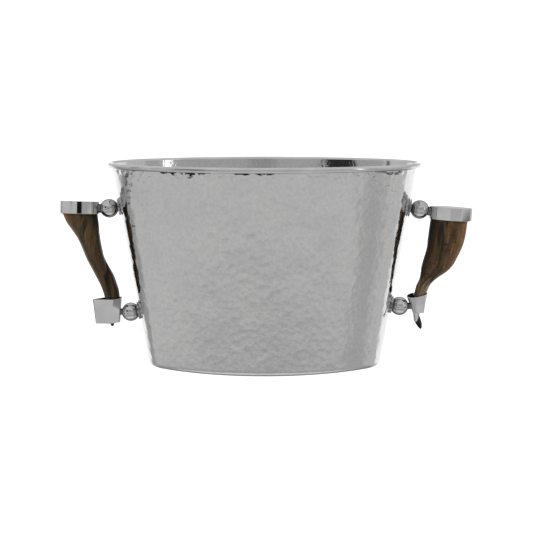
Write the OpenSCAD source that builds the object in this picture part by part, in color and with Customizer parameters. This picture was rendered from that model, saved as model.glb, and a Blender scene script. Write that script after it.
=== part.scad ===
// Oval hammered champagne bucket with a horn handle at each end.
// Sizes are in millimetres. The bucket stands on z = 0, its length runs along X, its front faces -Y.

/* [Bucket] */
// Height of the bucket from the table to the top of the rolled rim
bucket_height = 208; // [150:1:280]
// Length of the mouth over the wall, from handle to handle
mouth_length = 309.6; // [240:0.4:400]
// Width of the mouth over the wall, front to back
mouth_width = 197.6; // [160:0.4:260]
// Outward lean of the wall, in degrees from upright
wall_lean = 9.82; // [4:0.02:12]
// Thickness of the hammered sheet
sheet = 1.2; // [0.8:0.1:2]
// Outer radius of the rolled rim
rim_radius = 2.7; // [2.6:0.1:5]
// Outer radius of the bend between the wall and the standing lip
heel_radius = 6; // [4:0.5:10]
// Width of the flat lip turned in under the base plate
lip_width = 14; // [8:0.5:24]
// Thickness of the base plate
base_thickness = 1.5; // [1:0.1:3]

/* [Handle heights] */
// Height of the left upper ball, as a share of the bucket height
left_upper_share = 0.774; // [0.7:0.002:0.82]
// Height of the left lower ball, as a share of the bucket height
left_lower_share = 0.262; // [0.24:0.002:0.34]
// Height of the right upper ball, as a share of the bucket height
right_upper_share = 0.768; // [0.7:0.002:0.82]
// Height of the right lower ball, as a share of the bucket height
right_lower_share = 0.291; // [0.24:0.002:0.34]

/* [Balls and fixings] */
// Diameter of each polished ball
ball_diameter = 19; // [15:0.5:24]
// Diameter of the thin flange between ball and wall
flange_diameter = 18; // [12:0.5:26]
// Thickness of the flange at its middle
flange_thickness = 1; // [0.8:0.1:2.5]
// Gap between an upper ball and the face of its flange, filled by the seat of the flange
ball_gap = 0.1; // [0:0.1:4]
// Height of the hollowed seat on the flange of an upper ball
seat_height = 0.7; // [0.4:0.1:4]
// Diameter of that seat
seat_diameter = 8; // [6:0.5:12]
// Depth of the flat ground on a lower ball where it seats on its flange
lower_seat = 1.7; // [0.5:0.1:3]
// Diameter of the screw that holds a ball from inside the bucket
screw_diameter = 5; // [3:0.25:7]
// Diameter of the dome head of the screw
screw_head_diameter = 10; // [8:0.5:14]
// Height of the dome head of the screw
screw_head_height = 2.6; // [1.5:0.1:4]
// Depth that a screw or stud reaches into a ball
thread_depth = 5.5; // [3:0.5:7]
// Diameter of the washer under a screw head
washer_diameter = 12; // [10:0.5:16]
// Thickness of the washer
washer_thickness = 0.8; // [0.5:0.1:2]
// Thickness of the sealing ring at its middle, between washer and wall
seal_thickness = 0.8; // [0.5:0.1:2]
// Clearance around each screw, stud and wire
clearance = 0.1; // [0.05:0.05:0.3]

/* [Caps] */
// Length of the left cap, outward from the ball
left_cap_length = 39; // [34:0.2:46]
// Length of the right cap, outward from the ball
right_cap_length = 42.8; // [38:0.2:50]
// Width of each cap, front to back
cap_width = 26; // [21:0.5:32]
// Height of each cap band
cap_height = 12.6; // [9:0.2:16]
// Thickness of the cap band
cap_sheet = 1.2; // [0.8:0.1:2]
// Thickness of the plate that closes the top of the cap
cap_plate_thickness = 1; // [0.8:0.1:2]
// Rise of the outer end of the left cap, in degrees
left_cap_tilt = 1.5; // [-6:0.5:6]
// Rise of the outer end of the right cap, in degrees
right_cap_tilt = -3.5; // [-6:0.5:6]
// Diameter of the neck between an upper ball and its cap
upper_neck_diameter = 9; // [6:0.5:11]
// Length of the neck between an upper ball and its cap
upper_neck_length = 1; // [0.8:0.1:5]
// Gap between the horn and the cap band around it
horn_clearance = 0.3; // [0.2:0.05:0.6]

/* [Sleeves and horns] */
// Thickness of the sleeve sheet
sleeve_sheet = 0.9; // [0.7:0.1:1.2]
// Diameter of the neck between a lower ball and its sleeve
lower_neck_diameter = 6.6; // [5:0.2:9]
// Diameter of the stud that runs from a lower ball into the horn
lower_stud_diameter = 3.4; // [2.4:0.2:5]
// Depth of the hollow in the root of each horn
horn_hollow_depth = 34; // [15:1:45]
// Thickness of the horn around that hollow, at the root
horn_wall = 3.2; // [2:0.2:5]
// Depth of the filler plug in the hollow of each horn
plug_depth = 12; // [5:1:20]

/* [Hidden] */
// Smoothness of large round surfaces
large_fn = 180;
// Smoothness of small round surfaces
small_fn = 96;
// Points around a horn, rings along a horn, points on each sleeve bend
horn_points = 40;
horn_rings = 34;
bend_points = 8;
// Small extra used only to cut cleanly through a face
over = 1;

lean_tan = tan(wall_lean);
lean_cos = cos(wall_lean);
lean_sin = sin(wall_lean);
ball_radius = ball_diameter / 2;
bore_diameter = screw_diameter + 2 * clearance;
half_length = mouth_length / 2;
half_width = mouth_width / 2;
// Radius of the rounded ends of the mouth, and the distance of their centres from the middle
mouth_end_radius = end_radius(half_length, half_width);
end_centre = half_length - mouth_end_radius;

// Middle of the rolled rim and of the heel bend, as [outward from the mouth line, height]
rim_bore = rim_radius - sheet;
rim_mid_z = bucket_height - rim_radius;
rim_mid_x = wall_out(rim_mid_z + rim_radius * lean_sin) - sheet / lean_cos + rim_radius * lean_cos;
heel_mid_z = heel_radius;
heel_mid_x = wall_out(heel_radius - heel_radius * lean_sin) - heel_radius * lean_cos;

// Outer wall line: distance outward from the mouth line at height z, and the reach at the ends
function wall_out(z) = -(bucket_height - z) * lean_tan;
function wall_reach(z) = half_length + wall_out(z);

// A four-arc oval hands over from end arc to side arc on a line that rises 4 for every 3 along,
// which fixes both radii from the half length a and the half width b.
hand = [0.6, 0.8];
function end_radius(a, b) = 1.5 * b - 0.5 * a;
function side_radius(a, b) = end_radius(a, b) + 2.5 * (a - b);

// Straight-line step from a to b by share t
function step(a, b, t) = a + (b - a) * t;
// Smooth curve through four values, from the second to the third
function curve(p0, p1, p2, p3, t) =
    0.5 * (2 * p1 + (p2 - p0) * t + (2 * p0 - 5 * p1 + 4 * p2 - p3) * t * t
    + (3 * p1 - p0 - 3 * p2 + p3) * t * t * t);
// Row of a table at a fractional place
function row_at(table, place) =
    let(last = len(table) - 1, i = min(floor(place), last - 1), t = place - i)
    curve(table[max(i - 1, 0)], table[i], table[i + 1], table[min(i + 2, last)], t);

// --- Places of the handle parts, side is "left" or "right", u is measured outward along X ---
function upper_z(side) = bucket_height * (side == "left" ? left_upper_share : right_upper_share);
function lower_z(side) = bucket_height * (side == "left" ? left_lower_share : right_lower_share);
upper_stand = flange_thickness + ball_gap + ball_radius;
lower_stand = flange_thickness + ball_radius - lower_seat;
function upper_u(side) = wall_reach(upper_z(side)) + upper_stand / lean_cos;
function lower_u(side) = wall_reach(lower_z(side)) + lower_stand / lean_cos;
function cap_tilt(side) = side == "left" ? left_cap_tilt : right_cap_tilt;
function cap_length(side) = side == "left" ? left_cap_length : right_cap_length;
// How far the middle line of a cap passes below the centre of its ball
function cap_drop(side) = side == "left" ? 0.8 : 2.2;
function cap_u(side) = upper_u(side) + ball_radius + upper_neck_length + cap_length(side) / 2;
function cap_z(side) =
    upper_z(side) - cap_drop(side) + tan(cap_tilt(side)) * (cap_u(side) - upper_u(side));

// Horn rows: height above the lower ball, outward from the lower ball, toward the back,
// half length of the section, half width of the section, turn of the section in degrees.
left_horn = [
    [101.0, 49.9, 0, 17.5, 11.1, 0],
    [93.0, 47.9, 0, 17.0, 11.5, 15],
    [83.8, 44.6, 0, 16.5, 11.2, 42],
    [74.6, 41.2, 0, 15.8, 10.4, 62],
    [65.4, 38.3, 0, 15.0, 9.8, 73],
    [56.2, 35.4, 0, 14.2, 9.3, 80],
    [47.0, 31.0, 0, 13.4, 9.0, 86],
    [37.7, 26.1, 0, 12.4, 9.0, 94],
    [28.5, 22.2, 0, 11.0, 8.1, 102],
    [21.5, 20.0, 0, 9.2, 7.9, 108],
    [14.0, 18.7, 0, 7.4, 7.4, 108],
    [6.0, 18.4, 0, 5.6, 5.6, 108],
    [-2.0, 18.7, 0, 4.2, 4.2, 108],
    [-9.0, 19.1, 0, 2.9, 2.9, 108],
    [-15.2, 19.3, 0, 1.2, 1.2, 108]
];
right_horn = [
    [87.0, 49.2, 0, 19.0, 11.1, 0],
    [77.7, 48.0, 0, 19.0, 11.3, 0],
    [68.5, 46.7, 0, 18.8, 11.2, 2],
    [59.3, 44.8, 0, 17.9, 10.8, 5],
    [47.0, 40.0, 0, 17.0, 9.8, 14],
    [40.9, 36.5, 0, 16.0, 9.2, 26],
    [34.7, 32.6, 0, 14.5, 8.4, 42],
    [28.6, 28.6, 0, 12.4, 7.6, 58],
    [22.4, 24.6, 0, 10.0, 6.8, 72],
    [16.2, 22.2, 0, 7.4, 6.2, 82],
    [9.5, 19.7, 0, 5.2, 4.9, 86],
    [1.0, 17.6, 0, 3.4, 3.4, 86],
    [-7.2, 17.5, 0, 2.2, 2.2, 86],
    [-13.0, 18.9, 0, 2.2, 2.1, 86],
    [-17.0, 20.4, 0, 2.4, 2.5, 86],
    [-20.6, 21.5, 0, 1.9, 2.0, 86],
    [-24.0, 22.2, 0, 0.8, 0.8, 86]
];
// Rise and outward run that the horn rows were drawn for, from lower ball to upper ball
function drawn_rise(side) = side == "left" ? 106.5 : 99.2;
function drawn_run(side) = side == "left" ? 20.1 : 18.7;
// Ball radius, cap length and cap width that the horn rows and the sleeves were drawn for
drawn_ball_radius = 9.5;
drawn_cap_width = 26;
function drawn_cap_length(side) = side == "left" ? 39 : 42.8;
// A bigger ball carries the sleeve and the horn outward with it
function sleeve_u(side) = lower_u(side) + ball_radius - drawn_ball_radius;
// Share by which a row follows the size of the cap, none at the sleeve and all near the cap
function cap_share(h) = max(0, min(1, (h - 15) / 50));
function horn_rows(side) = side == "left" ? left_horn : right_horn;
// Places a height and outward distance drawn beside the lower ball at the real handle
function place_z(side, h) =
    lower_z(side) + (h < 12 ? h : 12 + (h - 12) * rise_share(side));
function rise_share(side) = (upper_z(side) - lower_z(side) - 12) / (drawn_rise(side) - 12);
function run_extra(side) = upper_u(side) - lower_u(side) - drawn_run(side);
function place_u(side, h, u) =
    sleeve_u(side) + u + (h < 12 ? 0 : run_extra(side) * (h - 12) / (drawn_rise(side) - 12));
horn_in_cap = cap_height - cap_plate_thickness;
// Rows of the horn in real places: [outward, back, height, half length, half width, turn, tilt]
function placed_row(side, r) =
    let(longer = 1 + cap_share(r[0]) * (cap_length(side) / drawn_cap_length(side) - 1),
        wider = 1 + cap_share(r[0]) * (cap_width / drawn_cap_width - 1))
    [place_u(side, r[0], r[1]), r[2], place_z(side, r[0]), r[3] * longer, r[4] * wider, r[5], 0];
function root_row(side, rise, shrink) =
    let(tilt = cap_tilt(side))
    [cap_u(side) - sin(tilt) * (rise - cap_height / 2), 0,
     cap_z(side) + cos(tilt) * (rise - cap_height / 2),
     cap_length(side) / 2 - cap_sheet - horn_clearance - shrink,
     cap_width / 2 - cap_sheet - horn_clearance - shrink, 0, tilt];
function horn_table(side) = concat(
    [root_row(side, horn_in_cap, 0), root_row(side, 1.5, 0.2)],
    [for (r = horn_rows(side)) placed_row(side, r)]);
// Ring of points of one row, inset evenly by a given thickness
function ring(r, inset, n) = [for (k = [0:n - 1])
    let(a = 360 * k / n, x = (r[3] - inset) * cos(a), y = (r[4] - inset) * sin(a),
        lx = x * cos(r[5]) - y * sin(r[5]), ly = x * sin(r[5]) + y * cos(r[5]))
    [r[0] + lx * cos(r[6]), r[1] + ly, r[2] + lx * sin(r[6])]];

// --- General modules ---

// Solid through a list of rings that all have the same number of points, listed from top to bottom
module loft(rings) {
    n = len(rings[0]);
    m = len(rings);
    top = [for (k = [0:n - 1]) k];
    bottom = [for (k = [0:n - 1]) (m - 1) * n + n - 1 - k];
    sides = [for (i = [0:m - 2]) for (k = [0:n - 1])
        for (half = [0:1]) half == 0
            ? [i * n + k, i * n + (k + 1) % n, (i + 1) * n + (k + 1) % n]
            : [i * n + k, (i + 1) * n + (k + 1) % n, (i + 1) * n + k]];
    polyhedron([for (r = rings) for (p = r) p],
        concat([[for (k = [0:n - 1]) top[n - 1 - k]]], [[for (k = [0:n - 1]) bottom[n - 1 - k]]], sides),
        convexity = 6);
}

// Flat four-arc oval with half length a and half width b
module oval(a, b) {
    r = end_radius(a, b);
    big = side_radius(a, b);
    jx = a - r + r * hand[0];
    jy = r * hand[1];
    for (s = [-1, 1])
        intersection() {
            translate([s * (a - r), 0])
                circle(r = r, $fn = large_fn);
            polygon([[s * jx, -jy - r], [s * (a + r), -jy - r], [s * (a + r), jy + r], [s * jx, jy + r]]);
        }
    intersection() {
        translate([0, b - big])
            circle(r = big, $fn = 2 * large_fn);
        translate([0, big - b])
            circle(r = big, $fn = 2 * large_fn);
        polygon([[-jx, -b - r], [jx, -b - r], [jx, b + r], [-jx, b + r]]);
    }
}

// Sweeps a flat profile along the mouth oval; profile x is the distance outward from the mouth line
module sweep() {
    big = side_radius(half_length, half_width);
    far = 10 * ceil(half_length / 2);
    for (s = [-1, 1])
        intersection() {
            translate([s * end_centre, 0, 0])
                rotate_extrude($fn = large_fn)
                    translate([mouth_end_radius, 0])
                        children();
            translate([0, 0, -over])
                linear_extrude(bucket_height + 2 * over)
                    polygon([[s * end_centre, 0],
                        [s * (end_centre + hand[0] * far), hand[1] * far],
                        [s * (end_centre + hand[0] * far), -hand[1] * far]]);
        }
    for (s = [-1, 1])
        intersection() {
            translate([0, s * (half_width - big), 0])
                rotate_extrude($fn = 2 * large_fn)
                    translate([big, 0])
                        children();
            translate([0, 0, -over])
                linear_extrude(bucket_height + 2 * over)
                    polygon([[0, s * (half_width - big)],
                        [hand[0] * far, s * (half_width - big + hand[1] * far)],
                        [-hand[0] * far, s * (half_width - big + hand[1] * far)]]);
        }
}

// Section through the wall: lip, heel bend, leaning wall and rolled rim
module wall_profile() {
    translate([heel_mid_x - lip_width, 0])
        square([lip_width, sheet]);
    translate([heel_mid_x, heel_mid_z])
        intersection() {
            difference() {
                circle(r = heel_radius, $fn = small_fn);
                circle(r = heel_radius - sheet, $fn = small_fn);
            }
            polygon([[0, 0], [0, -2 * heel_radius], [2 * heel_radius, -2 * heel_radius],
                [2 * heel_radius * lean_cos, -2 * heel_radius * lean_sin]]);
        }
    polygon([
        [heel_mid_x + heel_radius * lean_cos, heel_mid_z - heel_radius * lean_sin],
        [rim_mid_x - rim_bore * lean_cos, rim_mid_z + rim_bore * lean_sin],
        [rim_mid_x - rim_radius * lean_cos, rim_mid_z + rim_radius * lean_sin],
        [heel_mid_x + (heel_radius - sheet) * lean_cos, heel_mid_z - (heel_radius - sheet) * lean_sin]
    ]);
    translate([rim_mid_x, rim_mid_z])
        difference() {
            circle(r = rim_radius, $fn = small_fn);
            circle(r = rim_bore, $fn = small_fn);
            polygon([[0, 0], [-3 * rim_radius * lean_cos, 3 * rim_radius * lean_sin],
                [-3 * rim_radius, -3 * rim_radius], [3 * rim_radius * cos(230), 3 * rim_radius * sin(230)]]);
        }
}

// Puts its children at a fixing point: z runs outward along the wall normal, from the outer wall face
module at_wall(side, z) {
    mirror([side == "left" ? 1 : 0, 0, 0])
        translate([wall_reach(z), 0, z])
            rotate([0, 90 + wall_lean, 0])
                children();
}

// Height on the wall face from which a ball at height z stands off by the given distance
function foot_z(z, stand) = z + stand * lean_sin;

// Cone that fills the rounded end of the bucket out to a face moved outward by the given amount
module end_cone(side, move) {
    mirror([side == "left" ? 1 : 0, 0, 0])
        translate([end_centre, 0, 0])
            cylinder(h = bucket_height, $fn = large_fn,
                r1 = mouth_end_radius + wall_out(0) + move / lean_cos,
                r2 = mouth_end_radius + move / lean_cos);
}

// Puts its children at the middle of a cap, tilted with it
module at_cap(side) {
    mirror([side == "left" ? 1 : 0, 0, 0])
        translate([cap_u(side), 0, cap_z(side)])
            rotate([0, -cap_tilt(side), 0])
                children();
}

// --- Bucket ---

module body_wall() {
    color("gainsboro")
        difference() {
            sweep()
                wall_profile();
            for (side = ["left", "right"]) {
                at_wall(side, foot_z(upper_z(side), upper_stand))
                    cylinder(h = 12, d = bore_diameter, center = true, $fn = small_fn);
                at_wall(side, foot_z(lower_z(side), lower_stand))
                    cylinder(h = 12, d = bore_diameter, center = true, $fn = small_fn);
            }
        }
}

module rim_wire() {
    color("silver")
        sweep()
            translate([rim_mid_x, rim_mid_z])
                circle(r = rim_bore - clearance / 2, $fn = small_fn);
}

module base_plate() {
    inset = round(100 * (clearance - heel_mid_x)) / 100;
    color("lightgray")
        translate([0, 0, sheet])
            linear_extrude(base_thickness)
                oval(half_length - inset, half_width - inset);
}

// --- Fixings, the same for every ball ---

// Thin disc that fits the curve of the wall; the one under an upper ball has a hollowed seat
module flange(side, z, stand, seated) {
    color("silver")
        difference() {
            at_wall(side, z)
                translate([0, 0, -over]) {
                    cylinder(h = flange_thickness + over, d = flange_diameter, $fn = small_fn);
                    if (seated)
                        cylinder(h = flange_thickness + seat_height + over, d = seat_diameter,
                            $fn = small_fn);
                }
            end_cone(side, 0);
            at_wall(side, z)
                cylinder(h = 30, d = bore_diameter, center = true, $fn = small_fn);
            if (seated)
                at_wall(side, z)
                    translate([0, 0, stand])
                        sphere(r = ball_radius, $fn = large_fn);
        }
}

module seal(side, z) {
    color("dimgray")
        difference() {
            at_wall(side, z)
                translate([0, 0, -sheet - seal_thickness])
                    cylinder(h = seal_thickness + over, d = washer_diameter, $fn = small_fn);
            difference() {
                at_wall(side, z)
                    cylinder(h = 20, d = 2 * washer_diameter, center = true, $fn = small_fn);
                end_cone(side, -sheet);
            }
            at_wall(side, z)
                cylinder(h = 30, d = bore_diameter, center = true, $fn = small_fn);
        }
}

module washer(side, z) {
    color("silver")
        at_wall(side, z)
            translate([0, 0, -sheet - seal_thickness - washer_thickness])
                difference() {
                    cylinder(h = washer_thickness, d = washer_diameter, $fn = small_fn);
                    translate([0, 0, -over])
                        cylinder(h = washer_thickness + 2 * over, d = bore_diameter, $fn = small_fn);
                }
}

// Dome-headed screw with a slot, its shank ending inside the ball
module screw(side, z, reach) {
    head_z = -sheet - seal_thickness - washer_thickness;
    half = screw_head_diameter / 2;
    dome = (half * half + screw_head_height * screw_head_height) / (2 * screw_head_height);
    color("silver")
        at_wall(side, z) {
            difference() {
                translate([0, 0, head_z])
                    intersection() {
                        translate([0, 0, dome - screw_head_height])
                            sphere(r = dome, $fn = large_fn);
                        translate([0, 0, -screw_head_height])
                            cylinder(h = screw_head_height, d = screw_head_diameter + over, $fn = small_fn);
                    }
                translate([-screw_head_diameter, -0.6, head_z - screw_head_height - over])
                    cube([2 * screw_head_diameter, 1.2, 1 + over]);
            }
            translate([0, 0, head_z])
                cylinder(h = reach - head_z, d = screw_diameter, $fn = small_fn);
        }
}

// --- Balls, necks and caps ---

module upper_ball(side) {
    z = foot_z(upper_z(side), upper_stand);
    color("whitesmoke")
        difference() {
            at_wall(side, z)
                translate([0, 0, upper_stand])
                    sphere(r = ball_radius, $fn = large_fn);
            at_wall(side, z)
                cylinder(h = upper_stand - ball_radius + thread_depth + 0.5, d = bore_diameter, $fn = small_fn);
            stud_line(side)
                translate([0, 0, ball_radius - thread_depth])
                    cylinder(h = thread_depth + over, d = upper_stud + 2 * clearance, $fn = small_fn);
        }
}

module lower_ball(side) {
    z = foot_z(lower_z(side), lower_stand);
    color("whitesmoke")
        difference() {
            at_wall(side, z)
                translate([0, 0, lower_stand])
                    sphere(r = ball_radius, $fn = large_fn);
            at_wall(side, z)
                translate([0, 0, flange_thickness - ball_radius])
                    cylinder(h = ball_radius, d = 2 * ball_diameter, $fn = small_fn);
            at_wall(side, z)
                cylinder(h = flange_thickness + thread_depth, d = bore_diameter, $fn = small_fn);
            at_lower_ball(side)
                translate([0, 0, ball_radius - thread_depth])
                    cylinder(h = thread_depth + over, d = lower_stud_diameter + 2 * clearance, $fn = small_fn);
        }
}

// Diameter of the stud between an upper ball and its cap
upper_stud = 4;
// How far the cap end stands from the ball centre
cap_gap = ball_radius + upper_neck_length;

// Puts its children at the centre of an upper ball, z running outward toward the cap
module stud_line(side) {
    mirror([side == "left" ? 1 : 0, 0, 0])
        translate([upper_u(side), 0, upper_z(side)])
            rotate([0, 90 + atan2(cap_drop(side) * 0.5, cap_gap) - cap_tilt(side), 0])
                children();
}

// Puts its children at the centre of a lower ball, z running outward toward the sleeve
module at_lower_ball(side) {
    mirror([side == "left" ? 1 : 0, 0, 0])
        translate([lower_u(side), 0, lower_z(side)])
            rotate([0, 90, 0])
                children();
}

module cap_oval(side, inset) {
    oval(cap_length(side) / 2 - inset, cap_width / 2 - inset);
}

module upper_neck(side) {
    color("whitesmoke")
        difference() {
            stud_line(side)
                union() {
                    translate([0, 0, ball_radius - 2])
                        cylinder(h = upper_neck_length + 5, d = upper_neck_diameter, $fn = small_fn);
                    translate([0, 0, ball_radius - thread_depth + 0.3])
                        cylinder(h = thread_depth, d = upper_stud, $fn = small_fn);
                }
            difference() {
                stud_line(side)
                    sphere(r = ball_radius, $fn = large_fn);
                stud_line(side)
                    cylinder(h = ball_radius + over, d = upper_stud, $fn = small_fn);
            }
            at_cap(side)
                translate([0, 0, -cap_height])
                    linear_extrude(2 * cap_height)
                        cap_oval(side, 0);
        }
}

module cap_band(side) {
    color("whitesmoke")
        at_cap(side)
            translate([0, 0, -cap_height / 2])
                linear_extrude(cap_height)
                    difference() {
                        cap_oval(side, 0);
                        cap_oval(side, cap_sheet);
                    }
}

module cap_plate(side) {
    color("whitesmoke")
        at_cap(side)
            translate([0, 0, cap_height / 2 - cap_plate_thickness])
                linear_extrude(cap_plate_thickness)
                    cap_oval(side, cap_sheet);
}

// --- Horns ---

// Rings of the hollow down to a given depth; the inset grows with depth
function hollow_rings(side, deep, extra, gap) =
    let(table = horn_table(side), root = horn_wall + gap)
    concat(extra > 0 ? [ring(root_row(side, horn_in_cap + extra, 0), root, horn_points)] : [],
        [for (drop = [0:2:deep])
            let(r = drop == 0 ? root_row(side, horn_in_cap, 0) : row_along(table, drop))
            ring(r, root + hollow_taper * drop / horn_hollow_depth, horn_points)]);
// How much thicker the horn is at the bottom of its hollow
hollow_taper = 5.5;
// Row of a horn table at a given drop below the horn root
function row_along(table, drop, i = 0) =
    let(a = table[0][2] - table[i + 1][2], b = table[0][2] - table[i][2])
    (drop <= a || i >= len(table) - 2)
        ? row_at(table, i + (drop - b) / (a - b))
        : row_along(table, drop, i + 1);

module horn(side) {
    table = horn_table(side);
    last = len(table) - 1;
    color(side == "left" ? "saddlebrown" : "sienna")
        difference() {
            mirror([side == "left" ? 1 : 0, 0, 0])
                loft([for (i = [0:horn_rings]) ring(row_at(table, last * i / horn_rings), 0, horn_points)]);
            mirror([side == "left" ? 1 : 0, 0, 0])
                loft(hollow_rings(side, horn_hollow_depth, over, 0));
            at_lower_ball(side)
                cylinder(h = stud_reach(side) + 0.3, d = lower_stud_diameter + 2 * clearance, $fn = 24);
            // The narrow end is pared where it leaves the slanted cut of the sleeve
            if (side == "right")
                sleeve_sheet_solid(side);
        }
}

module horn_plug(side) {
    color("tan")
        mirror([side == "left" ? 1 : 0, 0, 0])
            loft(hollow_rings(side, plug_depth, 0, clearance / 2));
}

// --- Sleeves ---

// How far the lower stud reaches from the centre of its ball
function stud_reach(side) = ball_radius + (side == "left" ? 7.5 : 7);

// Bends of the left sleeve: [outward from the ball, toward the back] at the top and at the bottom
left_bends_top = [[37.0, 0.5], [24.0, 9.0], [11.4, 4.5], [11.4, -3.8], [17.4, -8.6]];
left_bends_bottom = [[34.3, 0.5], [25.0, 5.8], [13.2, 3.0], [13.2, -2.6], [21.2, -5.6]];
left_bend_radius = 2;
// Height of the top and bottom edge of the left sleeve above the ball, and its tilt
left_sleeve_top = 13.8;
left_sleeve_bottom = -11.4;
left_sleeve_tilt = 4;
bend_count = len(left_bends_top);

// Ring of points around bends of one radius
function bend_ring(bends, radius, u, z, tilt) =
    [for (i = [0:bend_count - 1]) for (j = [0:bend_points])
        let(before = bends[(i + bend_count - 1) % bend_count], here = bends[i],
            after = bends[(i + 1) % bend_count],
            a0 = atan2(here[1] - before[1], here[0] - before[0]) - 90,
            a1 = atan2(after[1] - here[1], after[0] - here[0]) - 90,
            span = (a1 - a0 + 720) % 360,
            a = a0 + span * j / bend_points,
            x = here[0] + radius * cos(a), y = here[1] + radius * sin(a))
        [u + x, y, z - (x - 24) * tan(tilt)]];

// Ring of the left sleeve at share t from its top to its bottom
function left_ring(t, inset) =
    bend_ring([for (i = [0:bend_count - 1]) step(left_bends_top[i], left_bends_bottom[i], t)],
        left_bend_radius - inset, sleeve_u("left"),
        lower_z("left") + step(left_sleeve_top, left_sleeve_bottom, t), left_sleeve_tilt);

// Rows of the right sleeve: [height above the ball, middle of the round side, its radius,
// middle of the flap side, its radius]
right_sleeve_rows = [
    [11.6, 14.8, 7.4, 23.1, 5.6],
    [1.5, 16.0, 5.4, 23.4, 3.2],
    [-7.2, 17.5, 3.6, 23.8, 1.7]
];
// Narrow end of the right sleeve: [height, middle, radius]
right_sleeve_end = [-15.9, 18.5, 3.2];
// Slope of its top edge, outward and toward the back
right_sleeve_rise = 0.18;
right_sleeve_lift = 0.2;
// Slanted cut across the narrow end: [outward, height] of its low and high corner
right_cut_low = [17.6, -15.9];
right_cut_high = [21.3, -7.8];

// Row of the right sleeve at a fractional place, going on straight past both ends
function right_row(place) =
    let(i = place < 1 ? 0 : 1)
    step(right_sleeve_rows[i], right_sleeve_rows[i + 1], place - i);

// Ring of points around the two circles of a right sleeve row
function pair_ring(place, inset, slope) =
    let(r = right_row(place), a = r[2] - inset, b = r[4] - inset,
        gap = r[3] - r[1], half = acos((a - b) / gap), n = 18)
    [for (k = [0:2 * n + 1])
        let(near = k <= n,
            angle = near ? half + (360 - 2 * half) * k / n : -half + 2 * half * (k - n - 1) / n,
            x = (near ? r[1] : r[3]) + (near ? a : b) * cos(angle),
            y = (near ? a : b) * sin(angle))
        [sleeve_u("right") + x, y,
         lower_z("right") + r[0] + slope * ((x - 18) * right_sleeve_rise + y * right_sleeve_lift)]];

// Round ring of the narrow end, at share t from the flap edge to the tip
function end_ring(t, inset, shrink) =
    let(r = step([right_sleeve_rows[2][0], right_sleeve_rows[2][1], right_sleeve_rows[2][2]],
            right_sleeve_end, t))
    ring([sleeve_u("right") + r[1], 0, lower_z("right") + r[0], r[2] - shrink, r[2] - shrink, 0, 0],
        inset, 24);

// Outside of a sleeve, filled
module sleeve_outside(side) {
    if (side == "left")
        mirror([1, 0, 0])
            loft([left_ring(0, 0), left_ring(1, 0)]);
    else {
        loft([pair_ring(0, 0, 1), pair_ring(1, 0, 0), pair_ring(2, 0, 0)]);
        loft([end_ring(-0.2, 0, 0.3), end_ring(0, 0, 0), end_ring(1, 0, 0)]);
    }
}

// Space inside a sleeve
module sleeve_inside(side) {
    if (side == "left")
        mirror([1, 0, 0])
            loft([left_ring(-0.2, sleeve_sheet), left_ring(1.2, sleeve_sheet)]);
    else {
        loft([pair_ring(-0.4, sleeve_sheet, 1), pair_ring(1, sleeve_sheet, 0),
            pair_ring(2.1, sleeve_sheet, 0)]);
        loft([end_ring(-0.2, sleeve_sheet, 0.3), end_ring(0, sleeve_sheet, 0),
            end_ring(1.3, sleeve_sheet, 0)]);
    }
}

// Sheet of a sleeve before it is drilled
module sleeve_sheet_solid(side) {
    run = right_cut_high - right_cut_low;
    difference() {
        sleeve_outside(side);
        sleeve_inside(side);
        if (side == "right")
            translate([sleeve_u(side) + right_cut_low[0], 0, lower_z(side) + right_cut_low[1]])
                rotate([0, -atan2(run[1], run[0]), 0])
                    translate([-20, -20, -20])
                        cube([20 + norm(run), 40, 20]);
    }
}

module lower_sleeve(side) {
    color("whitesmoke")
        difference() {
            sleeve_sheet_solid(side);
            at_lower_ball(side)
                cylinder(h = stud_reach(side), d = lower_stud_diameter + 2 * clearance, $fn = 24);
        }
}

module lower_neck(side) {
    color("whitesmoke")
        difference() {
            at_lower_ball(side) {
                translate([0, 0, ball_radius - 1])
                    cylinder(h = 5, d = lower_neck_diameter, $fn = small_fn);
                translate([0, 0, ball_radius - thread_depth + 0.3])
                    cylinder(h = stud_reach(side) - ball_radius + thread_depth - 0.3,
                        d = lower_stud_diameter, $fn = small_fn);
            }
            difference() {
                at_lower_ball(side)
                    sphere(r = ball_radius, $fn = large_fn);
                at_lower_ball(side)
                    cylinder(h = ball_radius + over, d = lower_stud_diameter, $fn = small_fn);
            }
            difference() {
                sleeve_outside(side);
                at_lower_ball(side)
                    cylinder(h = 30, d = lower_stud_diameter, $fn = small_fn);
            }
            difference() {
                sleeve_inside(side);
                at_lower_ball(side)
                    cylinder(h = 30, d = lower_stud_diameter, $fn = small_fn);
            }
        }
}

// --- Whole handles, one module for each piece ---

module left_horn() {
    horn("left");
}

module left_horn_plug() {
    horn_plug("left");
}

module left_cap_band() {
    cap_band("left");
}

module left_cap_plate() {
    cap_plate("left");
}

module left_upper_neck() {
    upper_neck("left");
}

module left_upper_ball() {
    upper_ball("left");
}

module left_upper_flange() {
    flange("left", foot_z(upper_z("left"), upper_stand), upper_stand, true);
}

module left_upper_screw() {
    screw("left", foot_z(upper_z("left"), upper_stand), upper_stand - ball_radius + thread_depth);
}

module left_upper_washer() {
    washer("left", foot_z(upper_z("left"), upper_stand));
}

module left_upper_seal() {
    seal("left", foot_z(upper_z("left"), upper_stand));
}

module left_lower_sleeve() {
    lower_sleeve("left");
}

module left_lower_neck() {
    lower_neck("left");
}

module left_lower_ball() {
    lower_ball("left");
}

module left_lower_flange() {
    flange("left", foot_z(lower_z("left"), lower_stand), lower_stand, false);
}

module left_lower_screw() {
    screw("left", foot_z(lower_z("left"), lower_stand), flange_thickness + thread_depth - 0.5);
}

module left_lower_washer() {
    washer("left", foot_z(lower_z("left"), lower_stand));
}

module left_lower_seal() {
    seal("left", foot_z(lower_z("left"), lower_stand));
}

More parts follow.
